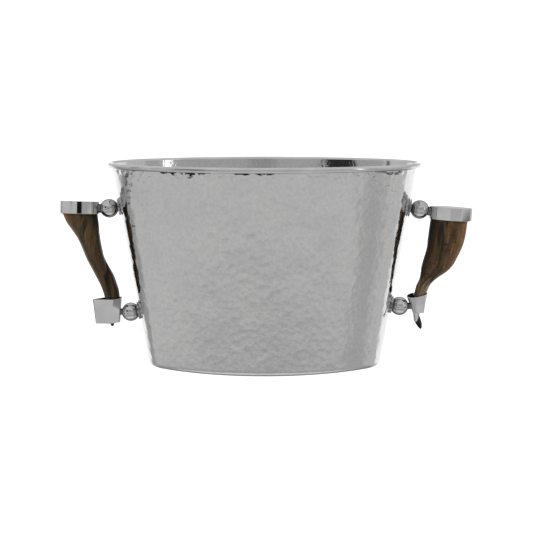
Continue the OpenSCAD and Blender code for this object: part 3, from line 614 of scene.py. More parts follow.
@dataclass
class BucketShell:
    """The hammered wall with its standing lip, and the rolled rim."""

    lean: float = math.radians(9.82)
    sheet: float = 1.2 * MM
    rim_radius: float = 2.7 * MM
    heel_radius: float = 6.0 * MM
    lip_width: float = 14.0 * MM
    row: float = 1.6 * MM
    inner_row: float = 8.0 * MM
    end_steps: int = 42
    side_steps: int = 78
    dent_size: float = 5.6 * MM
    dent_depth: float = 0.13 * MM

    def __post_init__(self) -> None:
        """Takes the mouth's size from the frame."""
        low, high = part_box("body_wall")
        self.height = high[2]
        spread = (self.rim_radius + self.rim_radius * math.cos(self.lean)
                  - (self.rim_radius - self.rim_radius * math.sin(self.lean)) * math.tan(self.lean)
                  - self.sheet / math.cos(self.lean))
        self.oval = FourArcOval(high[0] - spread, high[1] - spread)
        LOG.info("mouth %.1f x %.1f mm over the wall, the rim stands %.2f mm out",
                 2000 * self.oval.half_length, 2000 * self.oval.half_width, spread / MM)

    def outer(self, z: float) -> float:
        """How far outward from the mouth line the wall's outer face lies at a height."""
        return -(self.height - z) * math.tan(self.lean)

    def rim_middle(self) -> tuple[float, float]:
        """Middle of the rolled rim, outward and up."""
        z = self.height - self.rim_radius
        foot = self.outer(z + self.rim_radius * math.sin(self.lean))
        return foot - self.sheet / math.cos(self.lean) + self.rim_radius * math.cos(self.lean), z

    def heel_middle(self) -> tuple[float, float]:
        """Middle of the bend between wall and lip."""
        z = self.heel_radius
        foot = self.outer(z - z * math.sin(self.lean))
        return foot - z * math.cos(self.lean), z

    def arc(self, middle: tuple[float, float], radius: float, start: float, end: float,
            steps: int) -> list[tuple[float, float]]:
        """Points on an arc of the section; angles in degrees."""
        turns = np.radians(np.linspace(start, end, steps + 1))
        return [(middle[0] + radius * math.cos(t), middle[1] + radius * math.sin(t)) for t in turns]

    def line(self, a: tuple[float, float], b: tuple[float, float], row: float) -> list[tuple[float, float]]:
        """Points between two corners, about one row apart, without the corners."""
        n = max(1, round(math.dist(a, b) / row))
        return [(a[0] + (b[0] - a[0]) * k / n, a[1] + (b[1] - a[1]) * k / n) for k in range(1, n)]

    def sweep(self, title: str, section: list[tuple[float, float]]) -> bpy.types.Object:
        """Carries a section once round the mouth oval.

        Args:
            title: name of the new piece.
            section: corners as outward distance from the mouth line and height.

        Returns:
            The closed piece.
        """
        oval = self.oval
        piece = Bench.trace(title, [(oval.half_length + x, 0.0, z) for x, z in section])
        hand = math.atan2(0.8, 0.6)
        for steps, angle, centre in ((self.end_steps, hand, (oval.end_centre, 0, 0)),
                                     (self.side_steps, math.pi / 2 - hand, (0, -oval.side_centre, 0))):
            bpy.ops.mesh.spin(steps=steps, angle=-angle, center=centre, axis=(0, 0, 1))
        bpy.ops.object.mode_set(mode="OBJECT")
        spun = Bench.points(piece)
        if spun[:, 1].min() < -0.001:
            raise RuntimeError("the section was spun the wrong way")
        Bench.apply(piece, "MIRROR", use_axis=(True, True, False), merge_threshold=0.00002)
        Bench.tidy(piece)
        return piece

    def wall_section(self) -> list[tuple[float, float]]:
        """The section of the wall: lip, bend, outer face, top edge and inner face."""
        heel, rim = self.heel_middle(), self.rim_middle()
        tilt = math.degrees(self.lean)
        bore = self.rim_radius - self.sheet
        lip = heel[0] - self.lip_width
        low_out = self.arc(heel, self.heel_radius, -90, -tilt, 9)
        low_in = self.arc(heel, self.heel_radius - self.sheet, -tilt, -90, 5)
        away = (math.cos(self.lean), -math.sin(self.lean))
        top_out = (rim[0] - bore * away[0], rim[1] - bore * away[1])
        top_in = (rim[0] - self.rim_radius * away[0], rim[1] - self.rim_radius * away[1])
        points = [(lip, 0.0), *self.line((lip, 0.0), low_out[0], 3.5 * MM), *low_out]
        points += [*self.line(low_out[-1], top_out, self.row), top_out, top_in]
        deep = [a + (b - a) * 0.26 for a, b in zip(top_in, low_in[0])]
        points += [*self.line(top_in, deep, self.row), tuple(deep)]
        points += [*self.line(deep, low_in[0], self.inner_row), *low_in]
        points += [*self.line(low_in[-1], (lip, self.sheet), 3.5 * MM), (lip, self.sheet)]
        return points

    def hammer(self, piece: bpy.types.Object) -> None:
        """Beats dents into the outer face, and fainter ones into the inner face."""
        points = Bench.points(piece)
        z = points[:, 2]
        outward = np.abs(self.offset(points) - np.array([self.outer(h) for h in z]))
        outside = (outward < 0.25 * MM) & (z > 3 * MM)
        inside = (~outside) & (z > 8 * MM)
        layer = piece.data.attributes.new("outer_face", "FLOAT", "POINT")
        layer.data.foreach_set("value", outside.astype(np.float32))
        fade = np.clip((self.height - 4.2 * MM - z) / (5 * MM), 0, 1) * np.clip((z - 2 * MM) / (6 * MM), 0, 1)
        for title, chosen, depth in (("outside", outside, self.dent_depth),
                                     ("inside", inside, 0.6 * self.dent_depth)):
            group = piece.vertex_groups.new(name=title)
            for step in range(11):
                which = np.nonzero(chosen & (np.round(fade * 10) == step))[0]
                if step and len(which):
                    group.add(which.tolist(), step / 10, "REPLACE")
            dents = bpy.data.textures.new("dents_" + title, "VORONOI")
            dents.distance_metric = "DISTANCE_SQUARED"
            dents.noise_scale = self.dent_size
            dents.noise_intensity = 1.0
            Bench.apply(piece, "DISPLACE", texture=dents, texture_coords="LOCAL", direction="NORMAL",
                        mid_level=0.25, strength=depth * 2, vertex_group=title)
            if title == "outside":
                self.bruise_under_rim(piece, points, outside)
            waves = bpy.data.textures.new("waves_" + title, "CLOUDS")
            waves.noise_scale = 0.03
            waves.noise_depth = 1
            Bench.apply(piece, "DISPLACE", texture=waves, texture_coords="LOCAL", direction="NORMAL",
                        mid_level=0.5, strength=0.35 * MM, vertex_group=title)
        piece.vertex_groups.clear()

    def bruise_under_rim(self, piece: bpy.types.Object, points: np.ndarray, outside: np.ndarray) -> None:
        """Adds the deeper, uneven dents left close under the rim."""
        group = piece.vertex_groups.new(name="under_rim")
        below = (self.height - 2 * self.rim_radius - points[:, 2]) / MM
        band = np.clip(1 - np.abs(below - 2.2) / 3.2, 0, 1)
        along = 0.5 + 0.5 * np.sin(points[:, 0] * 41 - 1.2) * np.cos(points[:, 0] * 23)
        weight = np.round(band * np.clip(along, 0, 1) * 10)
        for step in range(1, 11):
            which = np.nonzero(outside & (weight == step))[0]
            if len(which):
                group.add(which.tolist(), step / 10, "REPLACE")
        bruises = bpy.data.textures.new("bruises", "CLOUDS")
        bruises.noise_scale = 0.006
        bruises.noise_depth = 1
        Bench.apply(piece, "DISPLACE", texture=bruises, texture_coords="LOCAL", direction="NORMAL",
                    mid_level=0.5, strength=3.6 * MM, vertex_group="under_rim")

    def offset(self, points: np.ndarray) -> np.ndarray:
        """How far outward from the mouth line each point lies."""
        x, y = np.abs(points[:, 0]), np.abs(points[:, 1])
        o = self.oval
        to_end = np.hypot(x - o.end_centre, y)
        end = (x - o.end_centre) * 0.8 > y * 0.6
        to_side = np.hypot(x, y + o.side_centre)
        return np.where(end, to_end - o.end_radius, to_side - o.side_radius)

    def build(self, finishes: Finishes) -> None:
        """Makes and dresses the wall and the rim."""
        wall = self.sweep("bucket_wall", self.wall_section())
        self.hammer(wall)
        Bench.smooth(wall, 50)
        Bench.settle(wall, ["body_wall"], "hammered_silver", finishes.hammered)
        rim = self.rim_middle()
        tilt = math.degrees(self.lean)
        roll = self.arc(rim, self.rim_radius, 180 - tilt, -130, 34)
        roll += self.arc(rim, self.rim_radius - self.sheet, -130, 180 - tilt, 18)
        bead = self.sweep("rolled_rim", roll)
        Bench.smooth(bead, 50)
        Bench.settle(bead, ["body_wall"], "hammered_silver", finishes.plain)


# ------------------------------------------------------------------- handles


@dataclass
class HandlePlaces:
    """Where the parts of one handle sit, read from the frame."""

    side: Side
    upper_bore: float = 2.1 * MM
    lower_bore: float = 1.8 * MM

    def __post_init__(self) -> None:
        """Reads the balls, the cap and their sizes."""
        word = self.side.word
        low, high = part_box(f"{word}_upper_ball")
        self.ball_radius = (high[1] - low[1]) / 2
        self.ball_radius = 9.5 * MM if abs(self.ball_radius - 9.5 * MM) < 0.2 * MM else self.ball_radius
        self.lean = math.radians(9.82)
        self.upper_ball = self.ball_centre("upper")
        self.lower_ball = self.ball_centre("lower")
        self.cap = centre_of(f"{word}_cap_band")

    def ball_centre(self, level: str) -> Vector:
        """Centre of a ball, from its box: the top of the ball is whole, the face by the wall is not."""
        low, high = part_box(f"{self.side.word}_{level}_ball")
        far = high[0] if self.side is Side.RIGHT else -low[0]
        bore = self.upper_bore if level == "upper" else self.lower_bore
        out = far - math.sqrt(self.ball_radius ** 2 - bore ** 2)
        return Vector((self.side.value * out, 0.0, high[2] - self.ball_radius))


@dataclass
class PolishedBall:
    """One mirror-polished ball with its seat ground toward the wall."""

    places: HandlePlaces
    level: str

    def build(self, finishes: Finishes) -> None:
        """Makes and dresses the ball."""
        side = self.places.side
        centre = self.places.upper_ball if self.level == "upper" else self.places.lower_ball
        radius = self.places.ball_radius
        Bench.clear()
        bpy.ops.mesh.primitive_uv_sphere_add(segments=112, ring_count=64, radius=radius)
        piece = Bench.name(f"{side.word}_{self.level}_ball_polished")
        Bench.edit(piece)
        ground_off = 0.45 * MM if self.level == "upper" else 1.7 * MM
        cut = radius - ground_off
        bpy.ops.mesh.bisect(plane_co=(0, 0, -cut), plane_no=(0, 0, -1), use_fill=True, clear_outer=True)
        bpy.ops.mesh.select_all(action="DESELECT")
        bpy.ops.object.mode_set(mode="OBJECT")
        for face in piece.data.polygons:
            face.select = len(face.vertices) > 8
        bpy.ops.object.mode_set(mode="EDIT")
        bpy.ops.mesh.select_mode(type="FACE")
        bpy.ops.mesh.inset(thickness=0.25 * MM)
        bpy.ops.transform.translate(value=(0, 0, 0.12 * MM))
        bpy.ops.object.mode_set(mode="OBJECT")
        Bench.tidy(piece)
        Bench.smooth(piece, 35)
        turn = Matrix.Rotation(side.value * (math.pi / 2 + self.places.lean), 4, "Y")
        Bench.turn(piece, Matrix.Translation(centre) @ turn)
        Bench.settle(piece, [f"{side.word}_{self.level}_ball"], "polished_silver", finishes.ball)


@dataclass
class Cap:
    """The oval cap on the root of a horn: a band and the plate let into its top."""

    places: HandlePlaces
    length: float
    tilt: float
    width: float = 26.0 * MM
    height: float = 12.6 * MM
    sheet: float = 1.2 * MM
    plate: float = 1.0 * MM
    points: int = 192
    nod: float = 0.0
    lift: float = 0.0

    def oval_ring(self, title: str, oval: FourArcOval, fill: str) -> bpy.types.Object:
        """A flat ring of points along an oval, as a wire or a filled face."""
        Bench.clear()
        bpy.ops.mesh.primitive_circle_add(vertices=self.points, radius=1.0, fill_type=fill)
        piece = Bench.name(title)
        points = Bench.points(piece)
        angle = np.arctan2(points[:, 1], points[:, 0])
        blend = np.arctan2(np.sin(angle), 0.72 * np.cos(angle))
        flat = oval.at(blend)
        Bench.place(piece, np.column_stack([flat, np.zeros(len(flat))]))
        return piece

    def set_down(self, piece: bpy.types.Object) -> None:
        """Moves a piece drawn about the cap's middle to its real place."""
        along = Matrix.Rotation(-self.places.side.value * self.tilt, 4, "Y")
        tilt = Matrix.Rotation(-self.nod, 4, "X") @ along
        Bench.turn(piece, Matrix.Translation(self.places.cap + Vector((0, 0, self.lift))) @ tilt)

    def build(self, finishes: Finishes) -> None:
        """Makes and dresses the band and the plate."""
        word = self.places.side.word
        outer = FourArcOval(self.length / 2, self.width / 2)
        inner = FourArcOval(outer.half_length - self.sheet, outer.half_width - self.sheet)
        band = self.oval_ring(f"{word}_cap_band_rolled", outer, "NOTHING")
        Bench.edit(band)
        bpy.ops.transform.translate(value=(0, 0, -self.height / 2))
        bpy.ops.mesh.extrude_region_move(TRANSFORM_OT_translate={"value": (0, 0, self.height)})
        bpy.ops.object.mode_set(mode="OBJECT")
        Bench.tidy(band)
        Bench.apply(band, "SOLIDIFY", thickness=self.sheet, offset=-1.0, use_even_offset=True)
        Bench.tidy(band)
        Bench.apply(band, "BEVEL", width=0.28 * MM, segments=3, limit_method="ANGLE",
                    angle_limit=math.radians(50))
        Bench.smooth(band, 60, flat_faces=True)
        self.set_down(band)
        Bench.settle(band, [f"{word}_cap_band"], "polished_silver", finishes.polished)
        gap = 0.04 * MM
        inset = FourArcOval(inner.half_length - gap, inner.half_width - gap)
        plate = self.oval_ring(f"{word}_cap_plate_set_in", inset, "NGON")
        Bench.edit(plate, "FACE")
        top = self.height / 2 - 0.1 * MM
        bpy.ops.transform.translate(value=(0, 0, top - self.plate))
        bpy.ops.mesh.extrude_region_move(TRANSFORM_OT_translate={"value": (0, 0, self.plate)})
        bpy.ops.mesh.inset(thickness=4.0 * MM)
        bpy.ops.transform.translate(value=(0, 0, 0.08 * MM))
        bpy.ops.object.mode_set(mode="OBJECT")
        Bench.tidy(plate)
        Bench.apply(plate, "BEVEL", width=0.2 * MM, segments=3, limit_method="ANGLE",
                    angle_limit=math.radians(50))
        Bench.smooth(plate, 30, flat_faces=True)
        self.set_down(plate)
        Bench.settle(plate, [f"{word}_cap_plate"], "polished_silver", finishes.polished)


@dataclass
class Horn:
    """A natural horn, twisted as it narrows, with its grooves.

    Each row is: height above the lower ball, distance outward from it, half length and half
    width of the section, turn of the section in degrees. Sizes in millimetres.
    """

    places: HandlePlaces
    rows: Sequence[tuple[float, float, float, float, float]]
    cap: Cap
    grooves: Sequence[Sequence[tuple[float, float, float, float]]] = ()
    ridge: float = 0.12
    around: int = 120
    rings: int = 300
    seed: float = 0.0

    def table(self) -> np.ndarray:
        """All rows of the horn, the two inside the cap first, in metres and radians.

        Returns:
            Rows of outward, height, half length, half width, turn, tilt.
        """
        p, cap = self.places, self.cap
        s = p.side.value
        rows = []
        half = (cap.length / 2 - cap.sheet - 0.3 * MM, cap.width / 2 - cap.sheet - 0.3 * MM)
        for rise in (cap.height - cap.plate - 0.1 * MM, 1.5 * MM):
            up = rise - cap.height / 2
            rows.append((s * p.cap.x - math.sin(cap.tilt) * up, p.cap.z + math.cos(cap.tilt) * up,
                         *half, 0.0, cap.tilt))
        for h, u, a, b, turn in self.rows:
            rows.append((s * p.lower_ball.x + u * MM, p.lower_ball.z + h * MM, a * MM, b * MM,
                         math.radians(turn), 0.0))
        return np.array(rows)

    def row_at(self, table: np.ndarray, place: np.ndarray) -> np.ndarray:
        """Rows of a table at fractional places, on a smooth curve through its rows."""
        last = len(table) - 1
        i = np.minimum(np.floor(place).astype(int), last - 1)
        t = (place - i)[:, None]
        p0, p1 = table[np.maximum(i - 1, 0)], table[i]
        p2, p3 = table[i + 1], table[np.minimum(i + 2, last)]
        return 0.5 * (2 * p1 + (p2 - p0) * t + (2 * p0 - 5 * p1 + 4 * p2 - p3) * t ** 2
                      + (3 * p1 - p0 - 3 * p2 + p3) * t ** 3)

    def carve(self, angle: np.ndarray, height: np.ndarray, drop: np.ndarray) -> np.ndarray:
        """How much the surface is cut back at each point, in metres.

        Args:
            angle: direction round the section, seen from above, in radians.
            height: height above the lower ball, in metres.
            drop: length along the horn from its root, in metres.

        Returns:
            Depths, positive inward.
        """
        cut = np.zeros_like(angle)
        for groove in self.grooves:
            steps = np.array(groove)[::-1]
            middle, width, depth = (np.interp(height / MM, steps[:, 0], steps[:, k]) for k in (1, 2, 3))
            off = (angle - np.radians(middle) + np.pi) % (2 * np.pi) - np.pi
            cut += depth * MM * np.exp(-(off / np.radians(width)) ** 2)
        wave = np.array([noise.noise(Vector((7 * math.cos(a) + self.seed, 7 * math.sin(a), d * 22)))
                         for a, d in zip(angle, drop)])
        fine = np.array([noise.noise(Vector((19 * math.cos(a), 19 * math.sin(a) + self.seed, d * 45)))
                         for a, d in zip(angle, drop)])
        return cut + self.ridge * MM * (wave + 0.45 * fine)

    def build(self, finish: bpy.types.Material) -> None:
        """Makes and dresses the horn."""
        word, s = self.places.side.word, self.places.side.value
        Bench.clear()
        bpy.ops.mesh.primitive_cylinder_add(vertices=self.around, radius=1.0, depth=1.0,
                                            end_fill_type="NGON")
        piece = Bench.name(f"{word}_horn_grown")
        Bench.row_upright(piece, self.rings - 1)
        table = self.table()
        start = Bench.points(piece)
        angle = np.arctan2(start[:, 1], start[:, 0])
        share = np.clip(0.5 - start[:, 2], 0, 1)
        row = self.row_at(table, share * (len(table) - 1))
        rounding = np.sqrt(np.clip(1 - np.clip((share - 0.975) / 0.0255, 0, 1) ** 2, 0.0004, 1))
        shelter = np.clip(share * (len(table) - 1) - 1.0, 0, 1)
        step = np.linspace(0, 1, 2001)
        path = self.row_at(table, step * (len(table) - 1))
        run = np.concatenate([[0], np.cumsum(np.hypot(np.diff(path[:, 0]), np.diff(path[:, 1])))])
        drop = np.interp(share, step, run)
        local_x, local_y = row[:, 2] * np.cos(angle), row[:, 3] * np.sin(angle)
        cos_t, sin_t = np.cos(row[:, 4]), np.sin(row[:, 4])
        x, y = local_x * cos_t - local_y * sin_t, local_x * sin_t + local_y * cos_t
        facing = np.arctan2(y, x)
        size = np.hypot(x, y)
        cut = self.carve(facing, row[:, 1] - self.places.lower_ball.z, drop)
        cut = cut * shelter * np.clip(size / (4 * MM), 0, 1)
        # Painted shade, kept in the attribute hollow: darker in the grooves and on the side that faces the
        # bucket.
        away = np.abs(np.degrees(facing) % 360 - 180)
        groove_and_side_painted_shade = np.maximum(np.clip(cut / (1.2 * MM), 0, 1), np.clip((75 - away) / 50, 0, 1))
        keep = np.clip(1 - cut / np.maximum(size, 1e-6), 0.3, 1.2) * rounding
        x, y = x * keep, y * keep
        tilt = row[:, 5]
        points = np.column_stack([s * (row[:, 0] + x * np.cos(tilt)), y, row[:, 1] + x * np.sin(tilt)])
        Bench.place(piece, points)
        growth = np.column_stack([0.012 * np.cos(angle), 0.012 * np.sin(angle), drop])
        self.write(piece, "growth", "FLOAT_VECTOR", growth)
        self.write(piece, "age", "FLOAT", drop / run[-1])
        self.write(piece, "hollow", "FLOAT", groove_and_side_painted_shade)
        # Painted highlight: marks the outward side of the upper horn for a warm streak.
        edge_from, edge_over = 0.68, 0.30
        toward_edge = np.clip((np.cos(facing) - edge_from) / edge_over, 0, 1)
        upper_part = np.clip(1.2 - share * 1.6, 0, 1)
        self.write(piece, "painted_highlight_edge", "FLOAT", toward_edge * upper_part)
        self.hollow(piece)
        Bench.tidy(piece, 0.000002)
        Bench.smooth(piece, 60)
        Bench.settle(piece, [f"{word}_horn"], f"{word}_horn", finish)

    def write(self, piece: bpy.types.Object, title: str, kind: str, values: np.ndarray) -> None:
        """Writes one value or vector on every vertex of a piece."""
        layer = piece.data.attributes.new(title, kind, "POINT")
        slot = "vector" if kind == "FLOAT_VECTOR" else "value"
        layer.data.foreach_set(slot, values.astype(np.float32).ravel())

    def hollow(self, piece: bpy.types.Object) -> None:
        """Opens the root of the horn for its plug."""
        Bench.edit(piece, "FACE", everything=False)
        bpy.ops.object.mode_set(mode="OBJECT")
        ends = [f for f in piece.data.polygons if len(f.vertices) > 8]
        root = max(ends, key=lambda f: f.center.z)
        root.select = True
        bpy.ops.object.mode_set(mode="EDIT")
        bpy.ops.mesh.inset(thickness=3.2 * MM)
        for depth, shrink in ((-0.006, 0.95), (-0.007, 0.85)):
            bpy.ops.mesh.extrude_region_move(TRANSFORM_OT_translate={"value": (0, 0, depth)})
            bpy.ops.transform.resize(value=(shrink, shrink, 1.0))
        bpy.ops.object.mode_set(mode="OBJECT")


LEFT_HORN_ROWS = (
    (101.0, 49.9, 17.5, 11.1, 0), (93.0, 47.9, 17.0, 11.5, 15), (83.8, 44.6, 16.5, 11.2, 42),
    (74.6, 41.2, 15.8, 10.4, 62), (65.4, 38.3, 15.0, 9.8, 73), (56.2, 35.4, 14.2, 9.3, 80),
    (47.0, 31.0, 13.4, 9.0, 86), (37.7, 26.1, 12.4, 9.0, 94), (28.5, 22.2, 11.0, 8.1, 102),
    (21.5, 20.0, 9.2, 7.9, 108), (14.0, 18.7, 7.4, 7.4, 108), (6.0, 18.4, 5.6, 5.6, 108),
    (-2.0, 18.7, 4.2, 4.2, 108), (-9.0, 19.1, 2.9, 2.9, 108), (-15.2, 19.3, 1.2, 1.2, 108),
)
RIGHT_HORN_ROWS = (
    (87.0, 49.2, 19.0, 11.1, 0), (77.7, 48.0, 19.0, 11.3, 0), (68.5, 46.7, 18.8, 11.2, 2),
    (59.3, 44.8, 17.9, 10.8, 5), (47.0, 40.4, 17.4, 9.8, 14), (40.9, 37.9, 17.4, 9.2, 22),
    (34.7, 34.5, 15.6, 8.4, 32), (28.6, 29.4, 13.2, 7.6, 54), (22.4, 24.6, 10.0, 6.8, 72),
    (16.2, 22.2, 7.4, 6.2, 82), (9.5, 19.7, 5.2, 4.9, 86), (1.0, 17.6, 3.4, 3.4, 86),
    (-7.2, 17.5, 2.2, 2.2, 86), (-11.5, 18.7, 2.1, 2.7, 86), (-14.6, 19.3, 2.4, 3.0, 86),
    (-17.6, 20.0, 2.4, 3.2, 86), (-21.0, 21.2, 1.9, 2.3, 86), (-24.0, 22.3, 0.8, 0.8, 86),
)
# Each groove is a line of points from top to bottom: height, direction (degrees, 0 outward,
# 180 toward the bucket, 270 front), width in degrees, depth in millimetres.
LEFT_GROOVES = (
    ((62.0, 172.0, 12.0, 0.0), (50.0, 192.0, 16.0, 2.4), (38.0, 246.0, 16.0, 3.0),
     (21.0, 274.0, 16.0, 2.2), (8.0, 282.0, 14.0, 0.6), (0.0, 284.0, 14.0, 0.0)),
    ((101.0, 318.0, 12.0, 0.0), (92.0, 308.0, 15.0, 0.5), (66.0, 288.0, 18.0, 0.7),
     (42.0, 272.0, 16.0, 0.5), (30.0, 264.0, 12.0, 0.0)),
    ((95.0, 262.0, 8.0, 0.0), (80.0, 250.0, 9.0, 0.3), (58.0, 236.0, 9.0, 0.3), (46.0, 230.0, 8.0, 0.0)),
    ((98.0, 20.0, 14.0, 0.0), (70.0, 340.0, 14.0, 0.4), (40.0, 310.0, 12.0, 0.3), (20.0, 300.0, 12.0, 0.0)),
    ((90.0, 90.0, 16.0, 0.0), (60.0, 120.0, 18.0, 0.8), (20.0, 140.0, 16.0, 0.6), (4.0, 150.0, 14.0, 0.0)),
)
RIGHT_GROOVES = (
    ((88.0, 290.0, 6.0, 0.0), (78.0, 288.0, 6.0, 0.55), (58.0, 278.0, 6.0, 0.7), (44.0, 262.0, 8.0, 0.8),
     (30.0, 250.0, 12.0, 1.2), (14.0, 238.0, 14.0, 0.8), (4.0, 236.0, 12.0, 0.0)),
    ((86.0, 258.0, 5.0, 0.0), (74.0, 256.0, 6.0, 0.4), (56.0, 246.0, 7.0, 0.6), (40.0, 228.0, 8.0, 0.4),
     (30.0, 220.0, 8.0, 0.0)),
    ((80.0, 312.0, 6.0, 0.0), (66.0, 308.0, 6.0, 0.4), (50.0, 300.0, 8.0, 0.5), (36.0, 290.0, 12.0, 1.0),
     (24.0, 280.0, 14.0, 1.3), (10.0, 276.0, 14.0, 0.4), (4.0, 276.0, 12.0, 0.0)),
    ((70.0, 60.0, 10.0, 0.0), (50.0, 76.0, 12.0, 0.7), (20.0, 110.0, 12.0, 0.5), (4.0, 120.0, 12.0, 0.0)),
)


@dataclass
class FoldedSleeve:
    """The left sleeve: a sheet folded round the horn into a tapered pocket, open at both ends."""

    places: HandlePlaces
    top: Sequence[tuple[float, float]] = ((37.0, 0.5), (24.0, 9.0), (11.4, 4.5), (11.4, -3.8), (17.4, -8.6))
    bottom: Sequence[tuple[float, float]] = ((34.3, 0.5), (25.0, 5.8), (13.2, 3.0), (13.2, -2.6), (21.2, -5.6))
    bend: float = 2.0
    high: float = 13.8
    low: float = -11.4
    tilt: float = math.radians(4.0)
    sheet: float = 0.9
    per_bend: int = 10
    cuts: int = 14

    def ring(self, share: float) -> list[tuple[float, float, float]]:
        """Points round the outside of the sleeve at a share of its depth."""
        bends = [(a[0] + (b[0] - a[0]) * share, a[1] + (b[1] - a[1]) * share)
                 for a, b in zip(self.top, self.bottom)]
        level = self.high + (self.low - self.high) * share
        ring = []
        for i, here in enumerate(bends):
            before, after = bends[i - 1], bends[(i + 1) % len(bends)]
            start = math.atan2(here[1] - before[1], here[0] - before[0]) - math.pi / 2
            end = math.atan2(after[1] - here[1], after[0] - here[0]) - math.pi / 2
            span = (end - start) % (2 * math.pi)
            for k in range(self.per_bend + 1):
                a = start + span * k / self.per_bend
                x, y = here[0] + self.bend * math.cos(a), here[1] + self.bend * math.sin(a)
                ring.append((x, y, level - (x - 24.0) * math.tan(self.tilt)))
        return ring

    def build(self, finishes: Finishes) -> None:
        """Makes and dresses the sleeve."""
        word, s, ball = self.places.side.word, self.places.side.value, self.places.lower_ball
        count = len(self.top) * (self.per_bend + 1)
        Bench.clear()
        bpy.ops.mesh.primitive_cylinder_add(vertices=count, radius=1.0, depth=1.0, end_fill_type="NOTHING")
        piece = Bench.name(f"{word}_sleeve_folded")
        Bench.row_upright(piece, self.cuts)
        top, bottom = np.array(self.ring(0.0)), np.array(self.ring(1.0))
        start = Bench.points(piece)
        order = np.round(np.arctan2(start[:, 1], start[:, 0]) / (2 * np.pi) * count).astype(int) % count
        share = (0.5 - start[:, 2])[:, None]
        flat = (top[order] * (1 - share) + bottom[order] * share) * MM
        points = np.column_stack([ball.x + s * flat[:, 0], flat[:, 1], ball.z + flat[:, 2]])
        Bench.place(piece, points)
        Bench.tidy(piece, 0.000005)
        self.finish_sheet(piece)
        Bench.settle(piece, [f"{word}_lower_sleeve"], "polished_silver", finishes.polished)

    def finish_sheet(self, piece: bpy.types.Object) -> None:
        """Gives the folded sheet its thickness and eased edges."""
        Bench.apply(piece, "SOLIDIFY", thickness=self.sheet * MM, offset=-1.0, use_even_offset=True)
        Bench.apply(piece, "BEVEL", width=0.15 * MM, segments=2, limit_method="ANGLE",
                    angle_limit=math.radians(60))
        Bench.smooth(piece, 45, flat_faces=True)


@dataclass
class WrappedSleeve:
    """The right sleeve: a sheet wrapped into a cone with a flap left standing outward.

    Rows are: height above the ball, middle and radius of the round side, middle and radius of
    the flap side. Sizes in millimetres.
    """

    places: HandlePlaces
    rows: Sequence[tuple[float, float, float, float, float]] = (
        (11.6, 14.8, 7.4, 23.1, 5.6), (1.5, 16.0, 5.4, 23.4, 3.2), (-7.2, 17.5, 3.6, 23.8, 1.7))
    end: tuple[float, float, float] = (-15.9, 18.5, 3.2)
    rise: float = 0.18
    lift: float = 0.2
    cut_low: tuple[float, float] = (17.6, -15.9)
    cut_high: tuple[float, float] = (21.3, -7.8)
    sheet: float = 0.9
    around: int = 72

    def ring(self, row: Sequence[float], slope: float) -> np.ndarray:
        """Points round the two circles of a row, the same number for every row."""
        level, near, a, far, b = row
        half = math.acos((a - b) / (far - near))
        n = self.around // 2
        k = np.arange(self.around)
        on_near = k < n
        angle = np.where(on_near, half + (2 * math.pi - 2 * half) * k / (n - 1),
                         -half + 2 * half * (k - n) / (n - 1))
        x = np.where(on_near, near + a * np.cos(angle), far + b * np.cos(angle))
        y = np.where(on_near, a * np.sin(angle), b * np.sin(angle))
        return np.column_stack([x, y, level + slope * ((x - 18) * self.rise + y * self.lift)])

    def build(self, finishes: Finishes) -> None:
        """Makes and dresses the sleeve."""
        word, s, ball = self.places.side.word, self.places.side.value, self.places.lower_ball
        Bench.clear()
        bpy.ops.mesh.primitive_cylinder_add(vertices=self.around, radius=1.0, depth=1.0,
                                            end_fill_type="NOTHING")
        piece = Bench.name(f"{word}_sleeve_wrapped")
        Bench.row_upright(piece, 23)
        table = np.array(self.rows)
        start = Bench.points(piece)
        part_round = np.arctan2(start[:, 1], start[:, 0]) / (2 * np.pi)
        order = np.round(part_round * self.around).astype(int) % self.around
        share = 0.5 - start[:, 2]
        flat = np.empty_like(start)
        for i, (k, t) in enumerate(zip(order, share)):
            place = t * 2
            j = min(int(place), 1)
            row = table[j] + (table[j + 1] - table[j]) * (place - j)
            flat[i] = self.ring(row, max(0.0, 1 - place))[k]
        Bench.place(piece, flat)
        Bench.tidy(piece, 0.001)
        self.narrow_end(piece)
        points = Bench.points(piece) * MM
        Bench.place(piece, np.column_stack([ball.x + s * points[:, 0], points[:, 1], ball.z + points[:, 2]]))
        Bench.smooth(piece, 45)
        Bench.settle(piece, [f"{word}_lower_sleeve"], "polished_silver", finishes.polished)

    def narrow_end(self, piece: bpy.types.Object) -> None:
        """Adds the narrow end below the flap, cut on a slant, and thickens the sheet."""
        Bench.take(piece)
        Bench.apply(piece, "SOLIDIFY", thickness=self.sheet, offset=-1.0, use_even_offset=True)
        level, middle, radius = self.rows[2][0], self.rows[2][1], self.rows[2][2]
        bpy.ops.mesh.primitive_cone_add(vertices=72, radius1=self.end[2], radius2=radius - 0.05,
                                        depth=level + 0.4 - self.end[0], end_fill_type="NOTHING",
                                        location=((middle + self.end[1]) / 2, 0, (level + 0.4 + self.end[0]) / 2))
        cone = Bench.name("cone_end")
        bpy.ops.object.transform_apply(location=True, rotation=True, scale=True)
        points = Bench.points(cone)
        t = (points[:, 2] - self.end[0]) / (level + 0.4 - self.end[0])
        points[:, 0] += (self.end[1] + (middle - self.end[1]) * t) - (middle + self.end[1]) / 2
        Bench.place(cone, points)
        Bench.edit(cone, "EDGE")
        bpy.ops.mesh.subdivide(number_cuts=5)
        run = Vector((self.cut_high[0] - self.cut_low[0], 0, self.cut_high[1] - self.cut_low[1]))
        normal = Vector((run.z, 0, -run.x)).normalized()
        bpy.ops.mesh.select_all(action="SELECT")
        bpy.ops.mesh.bisect(plane_co=(self.cut_low[0], 0, self.cut_low[1]), plane_no=normal, clear_outer=True)
        bpy.ops.object.mode_set(mode="OBJECT")
        Bench.tidy(cone, 0.001)
        Bench.face_out(cone)
        Bench.apply(cone, "SOLIDIFY", thickness=self.sheet, offset=-1.0)
        Bench.take(cone)
        piece.select_set(True)
        bpy.context.view_layer.objects.active = piece
        bpy.ops.object.join()


